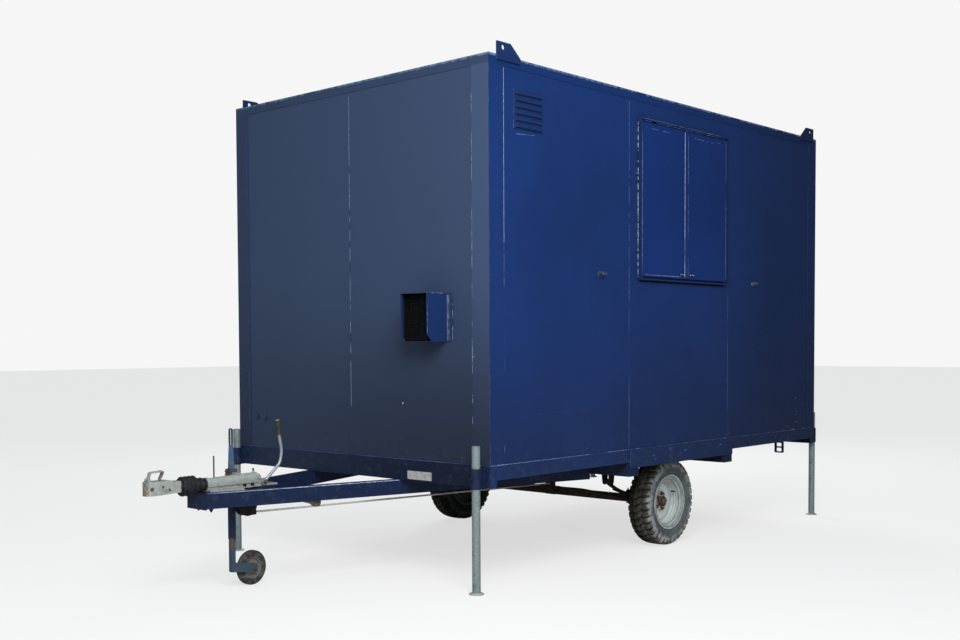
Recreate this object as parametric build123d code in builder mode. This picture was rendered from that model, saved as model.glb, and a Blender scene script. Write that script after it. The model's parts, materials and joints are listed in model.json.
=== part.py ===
"""Portable steel site cabin on a single-axle trailer chassis.

Frame: +X runs from the tow hitch to the rear end, +Y from the window side to the door side, +Z up.
The origin is on the ground, under the middle of the whole outline. All lengths are in millimetres.
"""
import math
import os

from build123d import *

os.makedirs("parts", exist_ok=True)

# ---------------------------------------------------------------- driving dimensions
# Body shell
body_length = 4030
body_width = 2290
body_height = 2400            # underside of the side rails to the top of the roof rails
deck_height = 638             # ground to the underside of the side rails
side_rail_height = 86
end_rail_drop = 41            # the end rails hang this much lower than the side rails
rail_thickness = 60
roof_rail_height = 56
post_width = 130
wall_thickness = 52
sheet_recess = 3              # wall sheets sit back from the posts' faces
floor_thickness = 40
joist_width = 45
joist_count = 9
roof_skin = 22                # roof panel at its edge
roof_crown = 16

# Window and its shutters
window_setback = 96           # from the middle bay's front seam to the window frame
window_width = 1126
window_height = 1050
window_head_gap = 106         # window frame to the roof rail
frame_lip = 10
frame_proud = 22
shutter_gap = 14              # between the frame lip and a leaf
shutter_thickness = 17
shutter_sheet = 2
astragal_width = 48
astragal_proud = 4
pane_thickness = 6
window_opening_margin = 45    # from the frame's outer edge to the hole in the wall

# Shutter hold-back catches
catch_reach = 975             # from the window's middle to a catch
catch_rise = 24               # above the window frame's lower edge
side_protrusion = 28          # how far catches and hinges stand out of the side faces

# Entrance door, on the side away from the window
door_width = 850
door_height = 1960
door_thickness = 44
door_frame_width = 45
door_clearance = 4
door_frame_proud = 12

# Vents
cowl_inset = 324              # from the window side's face to the cowl
cowl_width = 213
cowl_bottom = 1430
cowl_height = 281
cowl_depth = 167
cowl_sheet = 4
cowl_flange = 49
cowl_chamfer = 42
louvre_inset = 225
louvre_bottom = 2645
louvre_width = 260
louvre_height = 226
louvre_count = 6

# Lifting lugs
lug_inset = 66
lug_base = 207
lug_top = 118
lug_height = 102
lug_overlap = 30              # how far a lug reaches down over the roof rail
lug_thickness = 10
lug_hole_radius = 15
lug_hole_inset = 54
lug_hole_drop = 29

# Corner jacks
jack_radius = 24.15
jack_top = 840
jack_cap_chamfer = 3
raised_jack = "rear_right"     # this one is wound up off the ground
jack_lift = 150
jack_standoff = 65            # tube's axis to the end rail's face
jack_inset = 48               # tube's axis to the side face
foot_radius = 43
foot_rim = 5
foot_dome = 9                 # how much the foot rises to the tube
sleeve_wall = 6
sleeve_clearance = 0.3
sleeve_bottom = 598
sleeve_height = 114
sleeve_bracket_width = 34
sleeve_plate_width = 92
sleeve_plate_thickness = 8
clamp_screw_radius = 6
clamp_screw_reach = 27        # from the sleeve's outside

# Drawbar
beam_depth = 90
beam_width = 50
nose_reach = 1170             # from the body's front face to the beams' front ends
nose_half_width = 82
wall_half_width = 425         # beams' outer edges where they pass the body's front face
nose_plate_thickness = 10
nose_plate_overhang = 4

# Cross members, chassis rails and side plates
cross_member_width = 110
cross_member_depth = 93
chassis_rail_inset = 395
chassis_rail_width = 50
chassis_rail_depth = 100
packer_inset = 696            # from the side face to the plate over each drawbar beam
packer_width = 207
packer_height = 56
packer_thickness = 3
side_plate_thickness = 5
side_plate_drop = 38          # below the side rail's underside

# Axle, springs and wheels
axle_setback = 20             # the axle sits this far behind the middle of the cross members
wheel_radius = 303
tyre_width = 180
wheel_inset = 106             # from the side face to the tyre
rim_radius = 191
bead_radius = 173
rim_sheet = 4
rim_step = 18                 # depth of the drop centre inside the bead
rim_edge = 22                 # from a tyre's face to the rim's edge
tyre_shoulder = 14            # fall from the tread to a shoulder
disc_offset = 96              # from the tyre's outer face to the wheel disc
hub_radius = 52
hub_cap_radius = 34
hub_cap_reach = 34
drum_radius = 108
drum_width = 52
stud_count = 5
stud_circle_radius = 56
stub_radius = 20
backplate_radius = 104
backplate_thickness = 4
running_clearance = 0.05
axle_size = 50
spring_half_span = 320
spring_width = 45
spring_leaf = 8
spring_leaf_count = 3
spring_eye_radius = 16
spring_eye_height = 455
hanger_thickness = 8
hanger_pin_radius = 8
hanger_radius = 26
u_bolt_radius = 5
u_bolt_gap = 2                # between a U-bolt and what it passes
seat_plate_thickness = 8
brake_cable_radius = 5
ferrule_length = 20

# Overrun coupling
coupling_axis_rise = 41       # shaft's axis above the beams' tops
shaft_radius = 21
shaft_clearance = 0.1
shaft_travel = 80
housing_front = 1122          # distances in front of the body's face
housing_rear = 734
housing_collar = 36           # radii of the cast housing
housing_neck = 31
housing_swell = 39
housing_saddle = 33
housing_flange = 41
housing_flange_rise = 26
housing_flange_thickness = 6
housing_base_half = 40
housing_base_thickness = 9
housing_tail = 632
housing_shoulder = 930         # the wide front of the base plate ends here
housing_end_wall = 20
base_lap = 14                 # base plate over each beam
rod_setback = 1058
rod_radius = 4.5
rod_top = 792
bellows_rear = 1124
bellows_collar = 16             # plain tail of the bellows
bellows_front = 1297
bellows_radius = 56
bellows_neck = 34
bellows_valley = 46
bellows_ribs = 4
tail_rib_radius = 40          # small ribs, over the nose plate
tail_rib_valley = 36
tail_ribs = 2
head_tip = 1517
head_height = 76
head_half_width = 38          # at the ball
head_neck_half_width = 29
head_wall = 7
ball_radius = 25.5
ball_setback = 52             # from the head's tip to the ball's centre
handle_setback = 25           # handle's pin behind the head's tip
handle_height = 43            # above the pin
handle_length = 108
handle_bar = 9
handle_width = 22
handle_boss = 8
handle_ear = 6
handle_pin_radius = 4
handle_pin_rise = 9           # above the head's top

# Handbrake lever
lever_setback = 745           # pivot in front of the body's face
lever_rise = 24               # pivot above the beams' tops
lever_radius = 9
lever_side = 54               # left of the centre line
lever_boss_radius = 17
lever_pin_radius = 6
grip_radius = 13
grip_length = 90

# Jockey wheel
jockey_setback = 885          # leg's axis in front of the body's face
jockey_side = 70              # right of the centre line
leg_size = 32
inner_leg_size = 28
inner_leg_top = 290
leg_bottom = 99
leg_square_top = 704
leg_top = 838                 # top of the flat bar, under its loop
leg_bar = 12
leg_loop_radius = 12
leg_loop_height = 104
leg_loop_wall = 6
jockey_radius = 102.5
jockey_width = 43
jockey_trail = 150            # wheel's axis behind the leg's axis
arm_height = 57
arm_thickness = 8
jockey_clamp_wall = 8
jockey_clamp_height = 84
collar_bottom = 655           # clamp ring beside the overrun housing
collar_height = 45
moving_clearance = 0.4

# Small fittings
reflector_inset = 454
reflector_width = 197
reflector_height = 50
hook_insets = (209, 296)      # wall hooks, from the door side's face
hook_height = 925
hook_radius = 15
hook_bar = 7
tie_setback = 3515            # rear hanging bracket, from the body's front face
tie_width = 76
tie_height = 88
tie_slot = (42, 28)
brake_rod_radius = 6
linkage_front = 900            # brake linkage bracket under the drawbar
linkage_rear = 775
linkage_width = 50
linkage_drop = 78
compensator_half = 40
compensator_span = 44
rod_end_gap = 0.5

# ---------------------------------------------------------------- derived places
front_reach = head_tip
sleeve_bore = jack_radius + sleeve_clearance
sleeve_radius = sleeve_bore + sleeve_wall
rear_reach = jack_standoff + max(foot_radius, sleeve_radius + clamp_screw_reach)
x_front = (front_reach - body_length - rear_reach) / 2
x_rear = x_front + body_length
x_middle = (x_front + x_rear) / 2
y_left = -body_width / 2
y_right = body_width / 2
z_end_rail = deck_height - end_rail_drop
z_sill = deck_height + side_rail_height
z_roof = deck_height + body_height
z_eaves = z_roof - roof_rail_height
side_bay = (body_length - 2 * post_width) / 3
wall_outer = sheet_recess
wall_inner = sheet_recess + wall_thickness


def block(x0, x1, y0, y1, z0, z1, mode=Mode.ADD):
    """Adds, or cuts, a plain slab between two corners in the current part."""
    with Locations(((x0 + x1) / 2, (y0 + y1) / 2, (z0 + z1) / 2)):
        Box(x1 - x0, y1 - y0, z1 - z0, mode=mode)


def save(part, name):
    """Labels a finished piece and writes it."""
    part.label = name
    export_step(part, f"parts/{name}.step")


# ---------------------------------------------------------------- base frame and floor
with BuildPart() as base_end_rails:
    block(x_front, x_front + rail_thickness, y_left, y_right, z_end_rail, z_sill)
    block(x_rear - rail_thickness, x_rear, y_left, y_right, z_end_rail, z_sill)
    # Packer plates over the drawbar beams.
    for y0 in (y_left + packer_inset, y_right - packer_inset - packer_width):
        block(x_front - packer_thickness, x_front, y0, y0 + packer_width,
              z_end_rail, z_end_rail + packer_height)
save(base_end_rails.part, "base_end_rails")

x_inner_front = x_front + rail_thickness
x_inner_rear = x_rear - rail_thickness
with BuildPart() as base_side_rails:
    for y in (y_left, y_right - rail_thickness):
        block(x_inner_front, x_inner_rear, y, y + rail_thickness, deck_height, z_sill)
save(base_side_rails.part, "base_side_rails")

y_inner_left = y_left + rail_thickness
y_inner_right = y_right - rail_thickness
z_joist_top = z_sill - floor_thickness
with BuildPart() as floor_deck:
    block(x_inner_front, x_inner_rear, y_inner_left, y_inner_right, z_joist_top, z_sill)
save(floor_deck.part, "floor_deck")

joist_pitch = (x_inner_rear - x_inner_front) / (joist_count + 1)
with BuildPart() as floor_joists:
    for i in range(joist_count):
        x = x_inner_front + joist_pitch * (i + 1)
        block(x - joist_width / 2, x + joist_width / 2, y_inner_left, y_inner_right,
              deck_height, z_joist_top)
save(floor_joists.part, "floor_joists")

# ---------------------------------------------------------------- posts, walls and roof
with BuildPart() as corner_posts:
    with BuildSketch(Plane.XY.offset(z_sill)):
        for sx, x in ((1, x_front), (-1, x_rear)):
            for sy, y in ((1, y_left), (-1, y_right)):
                x_in = x + sx * wall_inner
                y_in = y + sy * wall_inner
                x_end = x + sx * post_width
                y_end = y + sy * post_width
                with BuildLine():
                    Polyline((x, y), (x_end, y), (x_end, y_in), (x_in, y_in), (x_in, y_end), (x, y_end),
                             close=True)
                make_face()
    extrude(amount=z_eaves - z_sill)
save(corner_posts.part, "corner_posts")

with BuildPart() as roof_frame:
    with BuildSketch(Plane.XY.offset(z_eaves)):
        with Locations((x_middle, 0)):
            Rectangle(body_length, body_width)
            Rectangle(body_length - 2 * rail_thickness, body_width - 2 * rail_thickness,
                      mode=Mode.SUBTRACT)
    extrude(amount=roof_rail_height)
save(roof_frame.part, "roof_frame")

z_roof_edge = z_roof - roof_crown - 4
with BuildPart() as roof_panel:
    with BuildSketch(Plane.YZ.offset(x_inner_front)):
        with BuildLine():
            Line((y_inner_left, z_roof_edge - roof_skin), (y_inner_left, z_roof_edge))
            ThreePointArc((y_inner_left, z_roof_edge), (0, z_roof_edge + roof_crown),
                          (y_inner_right, z_roof_edge))
            Polyline((y_inner_right, z_roof_edge), (y_inner_right, z_roof_edge - roof_skin),
                     (y_inner_left, z_roof_edge - roof_skin))
        make_face()
    extrude(amount=x_inner_rear - x_inner_front)
save(roof_panel.part, "roof_panel")

# End walls. The cowl's air hole goes right through the front wall's left sheet.
y_cowl = y_left + cowl_inset
z_cowl = cowl_bottom
with BuildPart() as front_wall_left:
    block(x_front + wall_outer, x_front + wall_inner, y_left + post_width, 0, z_sill, z_eaves)
    block(x_front - wall_outer, x_front + wall_inner + wall_outer, y_cowl + cowl_sheet,
          y_cowl + cowl_width - cowl_sheet, z_cowl + cowl_sheet, z_cowl + cowl_height - cowl_sheet,
          mode=Mode.SUBTRACT)
save(front_wall_left.part, "front_wall_left")

with BuildPart() as front_wall_right:
    block(x_front + wall_outer, x_front + wall_inner, 0, y_right - post_width, z_sill, z_eaves)
save(front_wall_right.part, "front_wall_right")

with BuildPart() as rear_wall:
    block(x_rear - wall_inner, x_rear - wall_outer, y_left + post_width, y_right - post_width,
          z_sill, z_eaves)
save(rear_wall.part, "rear_wall")

# Side walls: three equal sheets a side, the middle one cut for the window or the door.
x_bay1 = x_front + post_width
x_bay2 = x_bay1 + side_bay
x_bay3 = x_bay2 + side_bay
x_bay_end = x_bay3 + side_bay
for name, y0 in (("left_wall_panels", y_left + wall_outer), ("right_wall_panels", y_right - wall_inner)):
    with BuildPart() as wall_panels:
        block(x_bay1, x_bay2, y0, y0 + wall_thickness, z_sill, z_eaves)
        block(x_bay3, x_bay_end, y0, y0 + wall_thickness, z_sill, z_eaves)
    save(wall_panels.part, name)

x_window = x_bay2 + window_setback
z_window_top = z_eaves - window_head_gap
z_window = z_window_top - window_height
x_pane = x_window + window_opening_margin
x_pane_end = x_window + window_width - window_opening_margin
z_pane = z_window + window_opening_margin
z_pane_top = z_window_top - window_opening_margin
with BuildPart() as left_wall_window_bay:
    block(x_bay2, x_bay3, y_left + wall_outer, y_left + wall_inner, z_sill, z_eaves)
    block(x_pane, x_pane_end, y_left, y_left + wall_inner + wall_outer, z_pane, z_pane_top,
          mode=Mode.SUBTRACT)
save(left_wall_window_bay.part, "left_wall_window_bay")

x_door = (x_bay2 + x_bay3) / 2 - door_width / 2
x_door_end = x_door + door_width
door_gap = door_clearance + door_frame_width
z_door = z_sill + door_frame_width
z_door_top = z_door + door_height
with BuildPart() as right_wall_door_bay:
    block(x_bay2, x_bay3, y_right - wall_inner, y_right - wall_outer, z_sill, z_eaves)
    block(x_door - door_gap, x_door_end + door_gap, y_right - wall_inner - wall_outer, y_right,
          z_sill, z_door_top + door_gap, mode=Mode.SUBTRACT)
save(right_wall_door_bay.part, "right_wall_door_bay")

# ---------------------------------------------------------------- window and shutters
y_wall_face = y_left + wall_outer
with BuildPart() as window_frame:
    with BuildSketch(Plane.XZ.offset(-y_wall_face)):
        with Locations((x_window + window_width / 2, (z_window + z_window_top) / 2)):
            Rectangle(window_width, window_height)
            Rectangle(window_width - 2 * frame_lip, window_height - 2 * frame_lip, mode=Mode.SUBTRACT)
    extrude(amount=frame_proud + wall_outer)
save(window_frame.part, "window_frame")

with BuildPart() as window_glass:
    y_pane = y_wall_face + wall_thickness / 2
    block(x_pane, x_pane_end, y_pane, y_pane + pane_thickness, z_pane, z_pane_top)
save(window_glass.part, "window_glass")

leaf_inset = frame_lip + shutter_gap
x_leaf = x_window + leaf_inset
x_leaf_end = x_window + window_width - leaf_inset
x_meeting = (x_leaf + x_leaf_end) / 2
z_leaf = z_window + leaf_inset
z_leaf_top = z_window_top - leaf_inset
y_leaf_back = y_wall_face - 1.5
y_leaf_face = y_leaf_back - shutter_thickness
hinge_pin_radius = 5
hinge_pin_inset = 12
with BuildPart() as shutters:
    for x0, x1 in ((x_leaf, x_meeting - 1), (x_meeting + 1, x_leaf_end)):
        block(x0, x1, y_leaf_face, y_leaf_back, z_leaf, z_leaf_top)
        block(x0 + shutter_sheet, x1 - shutter_sheet, y_leaf_face + shutter_sheet, y_leaf_back,
              z_leaf + shutter_sheet, z_leaf_top - shutter_sheet, mode=Mode.SUBTRACT)
    for x0, x1 in ((x_meeting - astragal_width / 2, x_meeting - 1),
                   (x_meeting + 1, x_meeting + astragal_width / 2)):
        block(x0, x1, y_leaf_face - astragal_proud, y_leaf_face, z_leaf, z_leaf_top)
    for x in (x_leaf + hinge_pin_inset, x_leaf_end - hinge_pin_inset):
        for z0, z1 in ((z_window + frame_lip, z_leaf), (z_leaf_top, z_window_top - frame_lip)):
            with Locations((x, (y_leaf_face + y_leaf_back) / 2, (z0 + z1) / 2)):
                Cylinder(hinge_pin_radius, z1 - z0)
save(shutters.part, "shutters")

# A flat bolt with a round barrel low on each leaf, beside the meeting bars.
bolt_plate = (68, 3, 20)
bolt_barrel_radius = 5
z_bolt = z_leaf + 26
with BuildPart() as shutter_bolts:
    for side in (-1, 1):
        x = x_meeting + side * (astragal_width / 2 + bolt_plate[0] / 2 + 2)
        with Locations((x, y_leaf_face - bolt_plate[1] / 2, z_bolt)):
            Box(*bolt_plate)
        with Locations((x, y_leaf_face - bolt_plate[1] - bolt_barrel_radius / 2, z_bolt)):
            Cylinder(bolt_barrel_radius, bolt_plate[0] - 8, rotation=(0, 90, 0))
save(shutter_bolts.part, "shutter_bolts")

z_catch = z_window + catch_rise
catch_plate = 3
with BuildPart() as shutter_catches:
    for x in (x_window + window_width / 2 - catch_reach, x_window + window_width / 2 + catch_reach):
        with BuildSketch(Plane.XZ.offset(-y_wall_face)):
            with Locations((x, z_catch)):
                SlotOverall(64, 30)
        extrude(amount=catch_plate)
        with BuildSketch(Plane.XZ.offset(-y_wall_face + catch_plate)):
            with Locations((x, z_catch)):
                Circle(7)
        extrude(amount=side_protrusion + wall_outer - catch_plate - 8)
        with BuildSketch(Plane.XZ.offset(-y_wall_face + side_protrusion + wall_outer - 8)):
            with Locations((x, z_catch)):
                SlotOverall(46, 16)
        extrude(amount=8)
save(shutter_catches.part, "shutter_catches")

# ---------------------------------------------------------------- entrance door
y_door_face = y_right - wall_outer
with BuildPart() as door_frame:
    block(x_door - door_gap, x_door_end + door_gap, y_right - wall_inner, y_right + door_frame_proud,
          z_sill, z_door_top + door_gap)
    block(x_door - door_clearance, x_door_end + door_clearance, y_right - wall_inner - 1,
          y_right + door_frame_proud + 1, z_door - door_clearance, z_door_top + door_clearance,
          mode=Mode.SUBTRACT)
save(door_frame.part, "door_frame")

hinge_height = 110
hinge_radius = (side_protrusion - door_frame_proud) / 2
y_hinge = y_right + side_protrusion - hinge_radius
z_hinges = (z_door + 200, z_door + door_height / 2, z_door_top - 200)
with BuildPart() as door_leaf:
    block(x_door, x_door_end, y_door_face - door_thickness, y_door_face, z_door, z_door_top)
    block(x_door_end - 190, x_door_end - 60, y_door_face, y_door_face + 16,
          z_door + 900, z_door + 1090)
    block(x_door_end - 165, x_door_end - 85, y_door_face - 22, y_door_face,
          z_door + 760, z_door + 860, mode=Mode.SUBTRACT)
    for z in z_hinges:
        block(x_door + hinge_radius, x_door + 90, y_door_face, y_hinge + 3,
              z - hinge_height / 2, z + hinge_height / 2)
save(door_leaf.part, "door_leaf")

with BuildPart() as door_hinges:
    for z in z_hinges:
        block(x_door - door_gap + 5, x_door - hinge_radius / 2, y_right + door_frame_proud, y_hinge + 3,
              z - hinge_height / 2, z + hinge_height / 2)
        with Locations((x_door - 0.3, y_hinge, z)):
            Cylinder(hinge_radius, hinge_height)
save(door_hinges.part, "door_hinges")

# ---------------------------------------------------------------- vents
x_cowl_face = x_front - cowl_depth
with BuildPart() as vent_cowl:
    with BuildSketch(Plane.XZ.offset(-y_cowl)):
        with BuildLine():
            Polyline((x_front + wall_outer, z_cowl), (x_front + wall_outer, z_cowl + cowl_height),
                     (x_cowl_face, z_cowl + cowl_height), (x_cowl_face, z_cowl + cowl_chamfer),
                     (x_cowl_face + cowl_chamfer, z_cowl), close=True)
        make_face()
    extrude(amount=-cowl_width)
    block(x_cowl_face - 1, x_front + wall_outer + 1, y_cowl + cowl_sheet, y_cowl + cowl_width - cowl_sheet,
          z_cowl + cowl_sheet, z_cowl + cowl_height - cowl_sheet, mode=Mode.SUBTRACT)
    for y in (y_cowl - cowl_flange, y_cowl + cowl_width):
        block(x_front + wall_outer - cowl_sheet, x_front + wall_outer, y, y + cowl_flange,
              z_cowl, z_cowl + cowl_height)
save(vent_cowl.part, "vent_cowl")

with BuildPart() as cowl_grille:
    block(x_front + wall_inner, x_front + wall_inner + 3, y_cowl - 10, y_cowl + cowl_width + 10,
          z_cowl - 10, z_cowl + cowl_height + 10)
save(cowl_grille.part, "cowl_grille")

x_louvre = x_front + louvre_inset
louvre_pitch = louvre_height / louvre_count
with BuildPart() as louvre_vent:
    block(x_louvre, x_louvre + louvre_width, y_wall_face - 3, y_wall_face,
          louvre_bottom, louvre_bottom + louvre_height)
    for i in range(louvre_count):
        z = louvre_bottom + louvre_pitch * (i + 0.22)
        with BuildSketch(Plane.YZ.offset(x_louvre + 12)):
            with BuildLine():
                Polyline((y_wall_face - 3, z), (y_wall_face - 13, z),
                         (y_wall_face - 3, z + louvre_pitch * 0.55),
                         close=True)
            make_face()
        extrude(amount=louvre_width - 24)
save(louvre_vent.part, "louvre_vent")

# ---------------------------------------------------------------- lifting lugs
z_lug = z_roof - lug_overlap
with BuildPart() as lifting_lugs:
    for y0 in (y_left, y_right + lug_thickness):
        with BuildSketch(Plane.XZ.offset(-y0)):
            for side, x in ((1, x_front + lug_inset), (-1, x_rear - lug_inset)):
                x_foot = x + side * lug_base
                with BuildLine():
                    Polyline((x, z_lug), (x_foot, z_lug), (x_foot, z_lug + lug_overlap),
                             (x + side * lug_top, z_lug + lug_height), (x, z_lug + lug_height), close=True)
                make_face()
                with Locations((x + side * lug_hole_inset, z_lug + lug_height - lug_hole_drop)):
                    Circle(lug_hole_radius, mode=Mode.SUBTRACT)
        extrude(amount=lug_thickness)
save(lifting_lugs.part, "lifting_lugs")

# ---------------------------------------------------------------- corner jacks
jack_places = {
    "front_left": (x_front - jack_standoff, y_left + jack_inset, 1),
    "front_right": (x_front - jack_standoff, y_right - jack_inset, 1),
    "rear_left": (x_rear + jack_standoff, y_left + jack_inset, -1),
    "rear_right": (x_rear + jack_standoff, y_right - jack_inset, -1),
}
with BuildPart() as jack_sleeves:
    for x, y, inward in jack_places.values():
        face = x + inward * jack_standoff
        back = face - inward * sleeve_plate_thickness
        z_screw = sleeve_bottom + sleeve_height / 2
        block(min(x, face), max(x, face), y - sleeve_bracket_width / 2, y + sleeve_bracket_width / 2,
              sleeve_bottom, sleeve_bottom + sleeve_height)
        y_plate = math.copysign(body_width / 2 - sleeve_plate_width / 2, y)
        block(min(back, face), max(back, face), y_plate - sleeve_plate_width / 2,
              y_plate + sleeve_plate_width / 2, sleeve_bottom, z_sill)
        with Locations((x, y, z_screw)):
            Cylinder(sleeve_radius, sleeve_height)
            Cylinder(sleeve_bore, sleeve_height, mode=Mode.SUBTRACT)
        with BuildSketch(Plane((x - inward * (sleeve_radius - 1), y, z_screw), z_dir=(-inward, 0, 0))):
            RegularPolygon(clamp_screw_radius, 6)
        extrude(amount=clamp_screw_reach + 1)
save(jack_sleeves.part, "jack_sleeves")

for name, (x, y, inward) in jack_places.items():
    with BuildPart() as jack:
        z_foot = jack_lift if name == raised_jack else 0
        with BuildSketch(Plane((x, y, z_foot), x_dir=(1, 0, 0), z_dir=(0, -1, 0))):
            with BuildLine():
                Polyline((0, 0), (foot_radius, 0), (foot_radius, foot_rim),
                         (jack_radius, foot_rim + foot_dome),
                         (jack_radius, jack_top - jack_cap_chamfer),
                         (jack_radius - jack_cap_chamfer, jack_top),
                         (0, jack_top), close=True)
            make_face()
        revolve(axis=Axis((x, y, 0), (0, 0, 1)))
    save(jack.part, f"jack_{name}")

# ---------------------------------------------------------------- drawbar and chassis
x_nose = x_front - nose_reach
x_cross = x_bay2
x_cross_rear = x_bay3 + post_width / 2 - cross_member_width
z_beam = z_end_rail - beam_depth
beam_slope = (wall_half_width - nose_half_width) / nose_reach
beam_skew = beam_width * math.sqrt(1 + beam_slope ** 2)


def beam_edge(x):
    """Half width between the beams' outer edges at a place along the drawbar."""
    return nose_half_width + beam_slope * (x - x_nose)


def beam_inner(x):
    """Half width between the beams' inner edges at a place along the drawbar."""
    return beam_edge(x) - beam_skew


with BuildPart() as drawbar_beams:
    with BuildSketch(Plane.XY.offset(z_beam)):
        for side in (-1, 1):
            with BuildLine():
                Polyline((x_nose, side * beam_edge(x_nose)), (x_cross, side * beam_edge(x_cross)),
                         (x_cross, side * beam_inner(x_cross)), (x_nose, side * beam_inner(x_nose)),
                         close=True)
            make_face()
    extrude(amount=beam_depth)
save(drawbar_beams.part, "drawbar_beams")

with BuildPart() as nose_plate:
    block(x_nose - nose_plate_thickness, x_nose, -nose_half_width - nose_plate_overhang,
          nose_half_width + nose_plate_overhang, z_beam - nose_plate_overhang, z_end_rail)
save(nose_plate.part, "nose_plate")

z_cross = deck_height - cross_member_depth
with BuildPart() as cross_members:
    for x in (x_cross, x_cross_rear):
        block(x, x + cross_member_width, y_left, y_right, z_cross, deck_height)
save(cross_members.part, "cross_members")

x_axle = (x_cross + x_cross_rear + cross_member_width) / 2 + axle_setback
z_rail_bottom = deck_height - chassis_rail_depth
hanger_places = (x_axle - spring_half_span, x_axle + spring_half_span)
y_springs = (y_left + chassis_rail_inset + chassis_rail_width / 2,
             y_right - chassis_rail_inset - chassis_rail_width / 2)
y_hanger = spring_width / 2 + 1
with BuildPart() as chassis_rails:
    for y in y_springs:
        block(x_cross + cross_member_width, x_cross_rear, y - chassis_rail_width / 2,
              y + chassis_rail_width / 2,
              z_rail_bottom, deck_height)
        for y0 in (y - y_hanger - hanger_thickness, y + y_hanger):
            with BuildSketch(Plane.XZ.offset(-y0)):
                for x in hanger_places:
                    with Locations((x, spring_eye_height)):
                        Circle(hanger_radius)
                    with BuildLine():
                        Polyline((x - hanger_radius, spring_eye_height),
                                 (x + hanger_radius, spring_eye_height),
                                 (x + 1.6 * hanger_radius, z_rail_bottom + 20),
                                 (x - 1.6 * hanger_radius, z_rail_bottom + 20), close=True)
                    make_face()
            extrude(amount=-hanger_thickness)
        for x in hanger_places:
            with Locations((x, y, spring_eye_height)):
                Cylinder(hanger_pin_radius, 2 * (y_hanger + hanger_thickness), rotation=(90, 0, 0))
save(chassis_rails.part, "chassis_rails")

with BuildPart() as side_plates:
    for y in (y_left - side_plate_thickness, y_right):
        block(x_cross, x_cross_rear + cross_member_width, y, y + side_plate_thickness,
              deck_height - side_plate_drop, z_sill)
save(side_plates.part, "side_plates")

# ---------------------------------------------------------------- axle, springs and wheels
z_axle = wheel_radius
hub_face = wheel_inset + disc_offset
axle_end = hub_face + 20 + drum_width + 5
x_compensator = x_axle - compensator_half
z_cable = z_axle + axle_size / 2 + 10
with BuildPart() as axle:
    block(x_axle - axle_size / 2, x_axle + axle_size / 2, y_left + axle_end, y_right - axle_end,
          z_axle - axle_size / 2, z_axle + axle_size / 2)
    block(x_compensator, x_compensator + 8, -compensator_span, compensator_span,
          z_axle - axle_size / 2, z_axle + axle_size / 2 + 48)
    block(x_compensator, x_axle + axle_size / 2, -compensator_span, compensator_span,
          z_axle + axle_size / 2, z_axle + axle_size / 2 + 8)
    for side in (-1, 1):
        y0 = side * (body_width / 2 - axle_end)
        y1 = side * (body_width / 2 - hub_face)
        with Locations((x_axle, (y0 + y1) / 2, z_axle)):
            Cylinder(stub_radius, abs(y1 - y0), rotation=(90, 0, 0))
        with Locations((x_axle, y0 + side * backplate_thickness / 2, z_axle)):
            Cylinder(backplate_radius, backplate_thickness, rotation=(90, 0, 0))
        with Locations((x_compensator + 4, side * (compensator_span + ferrule_length / 2), z_cable)):
            Cylinder(brake_cable_radius + 2, ferrule_length, rotation=(90, 0, 0))
save(axle.part, "axle")

# Brake cables run from the compensator, in front of the axle, to the drums' backplates.
cable_ends = (compensator_span + ferrule_length, body_width / 2 - axle_end)
cable_run = (cable_ends[1] - cable_ends[0]) / 7
cable_forward = (0, 0, 6, 12, 16, 18, 17, 17)
cable_drop = (0, 0, -3, 6, 18, 28, 32, 32)
with BuildPart() as brake_cables:
    for side in (-1, 1):
        route = [Vector(x_compensator + 4 - forward, side * (cable_ends[0] + cable_run * i), z_cable - drop)
                 for i, (forward, drop) in enumerate(zip(cable_forward, cable_drop))]
        turns = [(route[i] - route[i - 1]).get_angle(route[i + 1] - route[i]) for i in range(1, 7)]
        radii = [0.45 * cable_run / math.tan(math.radians(turn) / 2) for turn in turns]
        print("brake cable radii", [round(radius) for radius in radii])
        with BuildLine() as cable_path:
            FilletPolyline(*route, radius=radii)
        with BuildSketch(Plane(cable_path.line @ 0, z_dir=cable_path.line % 0)):
            Circle(brake_cable_radius)
        sweep()
save(brake_cables.part, "brake_cables")

spring_seat = z_axle + axle_size / 2
spring_rise = spring_eye_height - spring_eye_radius - spring_seat - spring_leaf * (spring_leaf_count - 1)
spring_arc = (spring_half_span ** 2 + spring_rise ** 2) / (2 * spring_rise)
z_spring_centre = spring_seat + spring_leaf * (spring_leaf_count - 1) + spring_arc
z_clip = spring_seat + spring_leaf * spring_leaf_count


def on_spring(radius, degrees):
    """A point on a leaf's arc, seen from the side. Zero degrees is straight below its centre."""
    turn = math.radians(degrees)
    return (x_axle + radius * math.sin(turn), z_spring_centre - radius * math.cos(turn))


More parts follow.
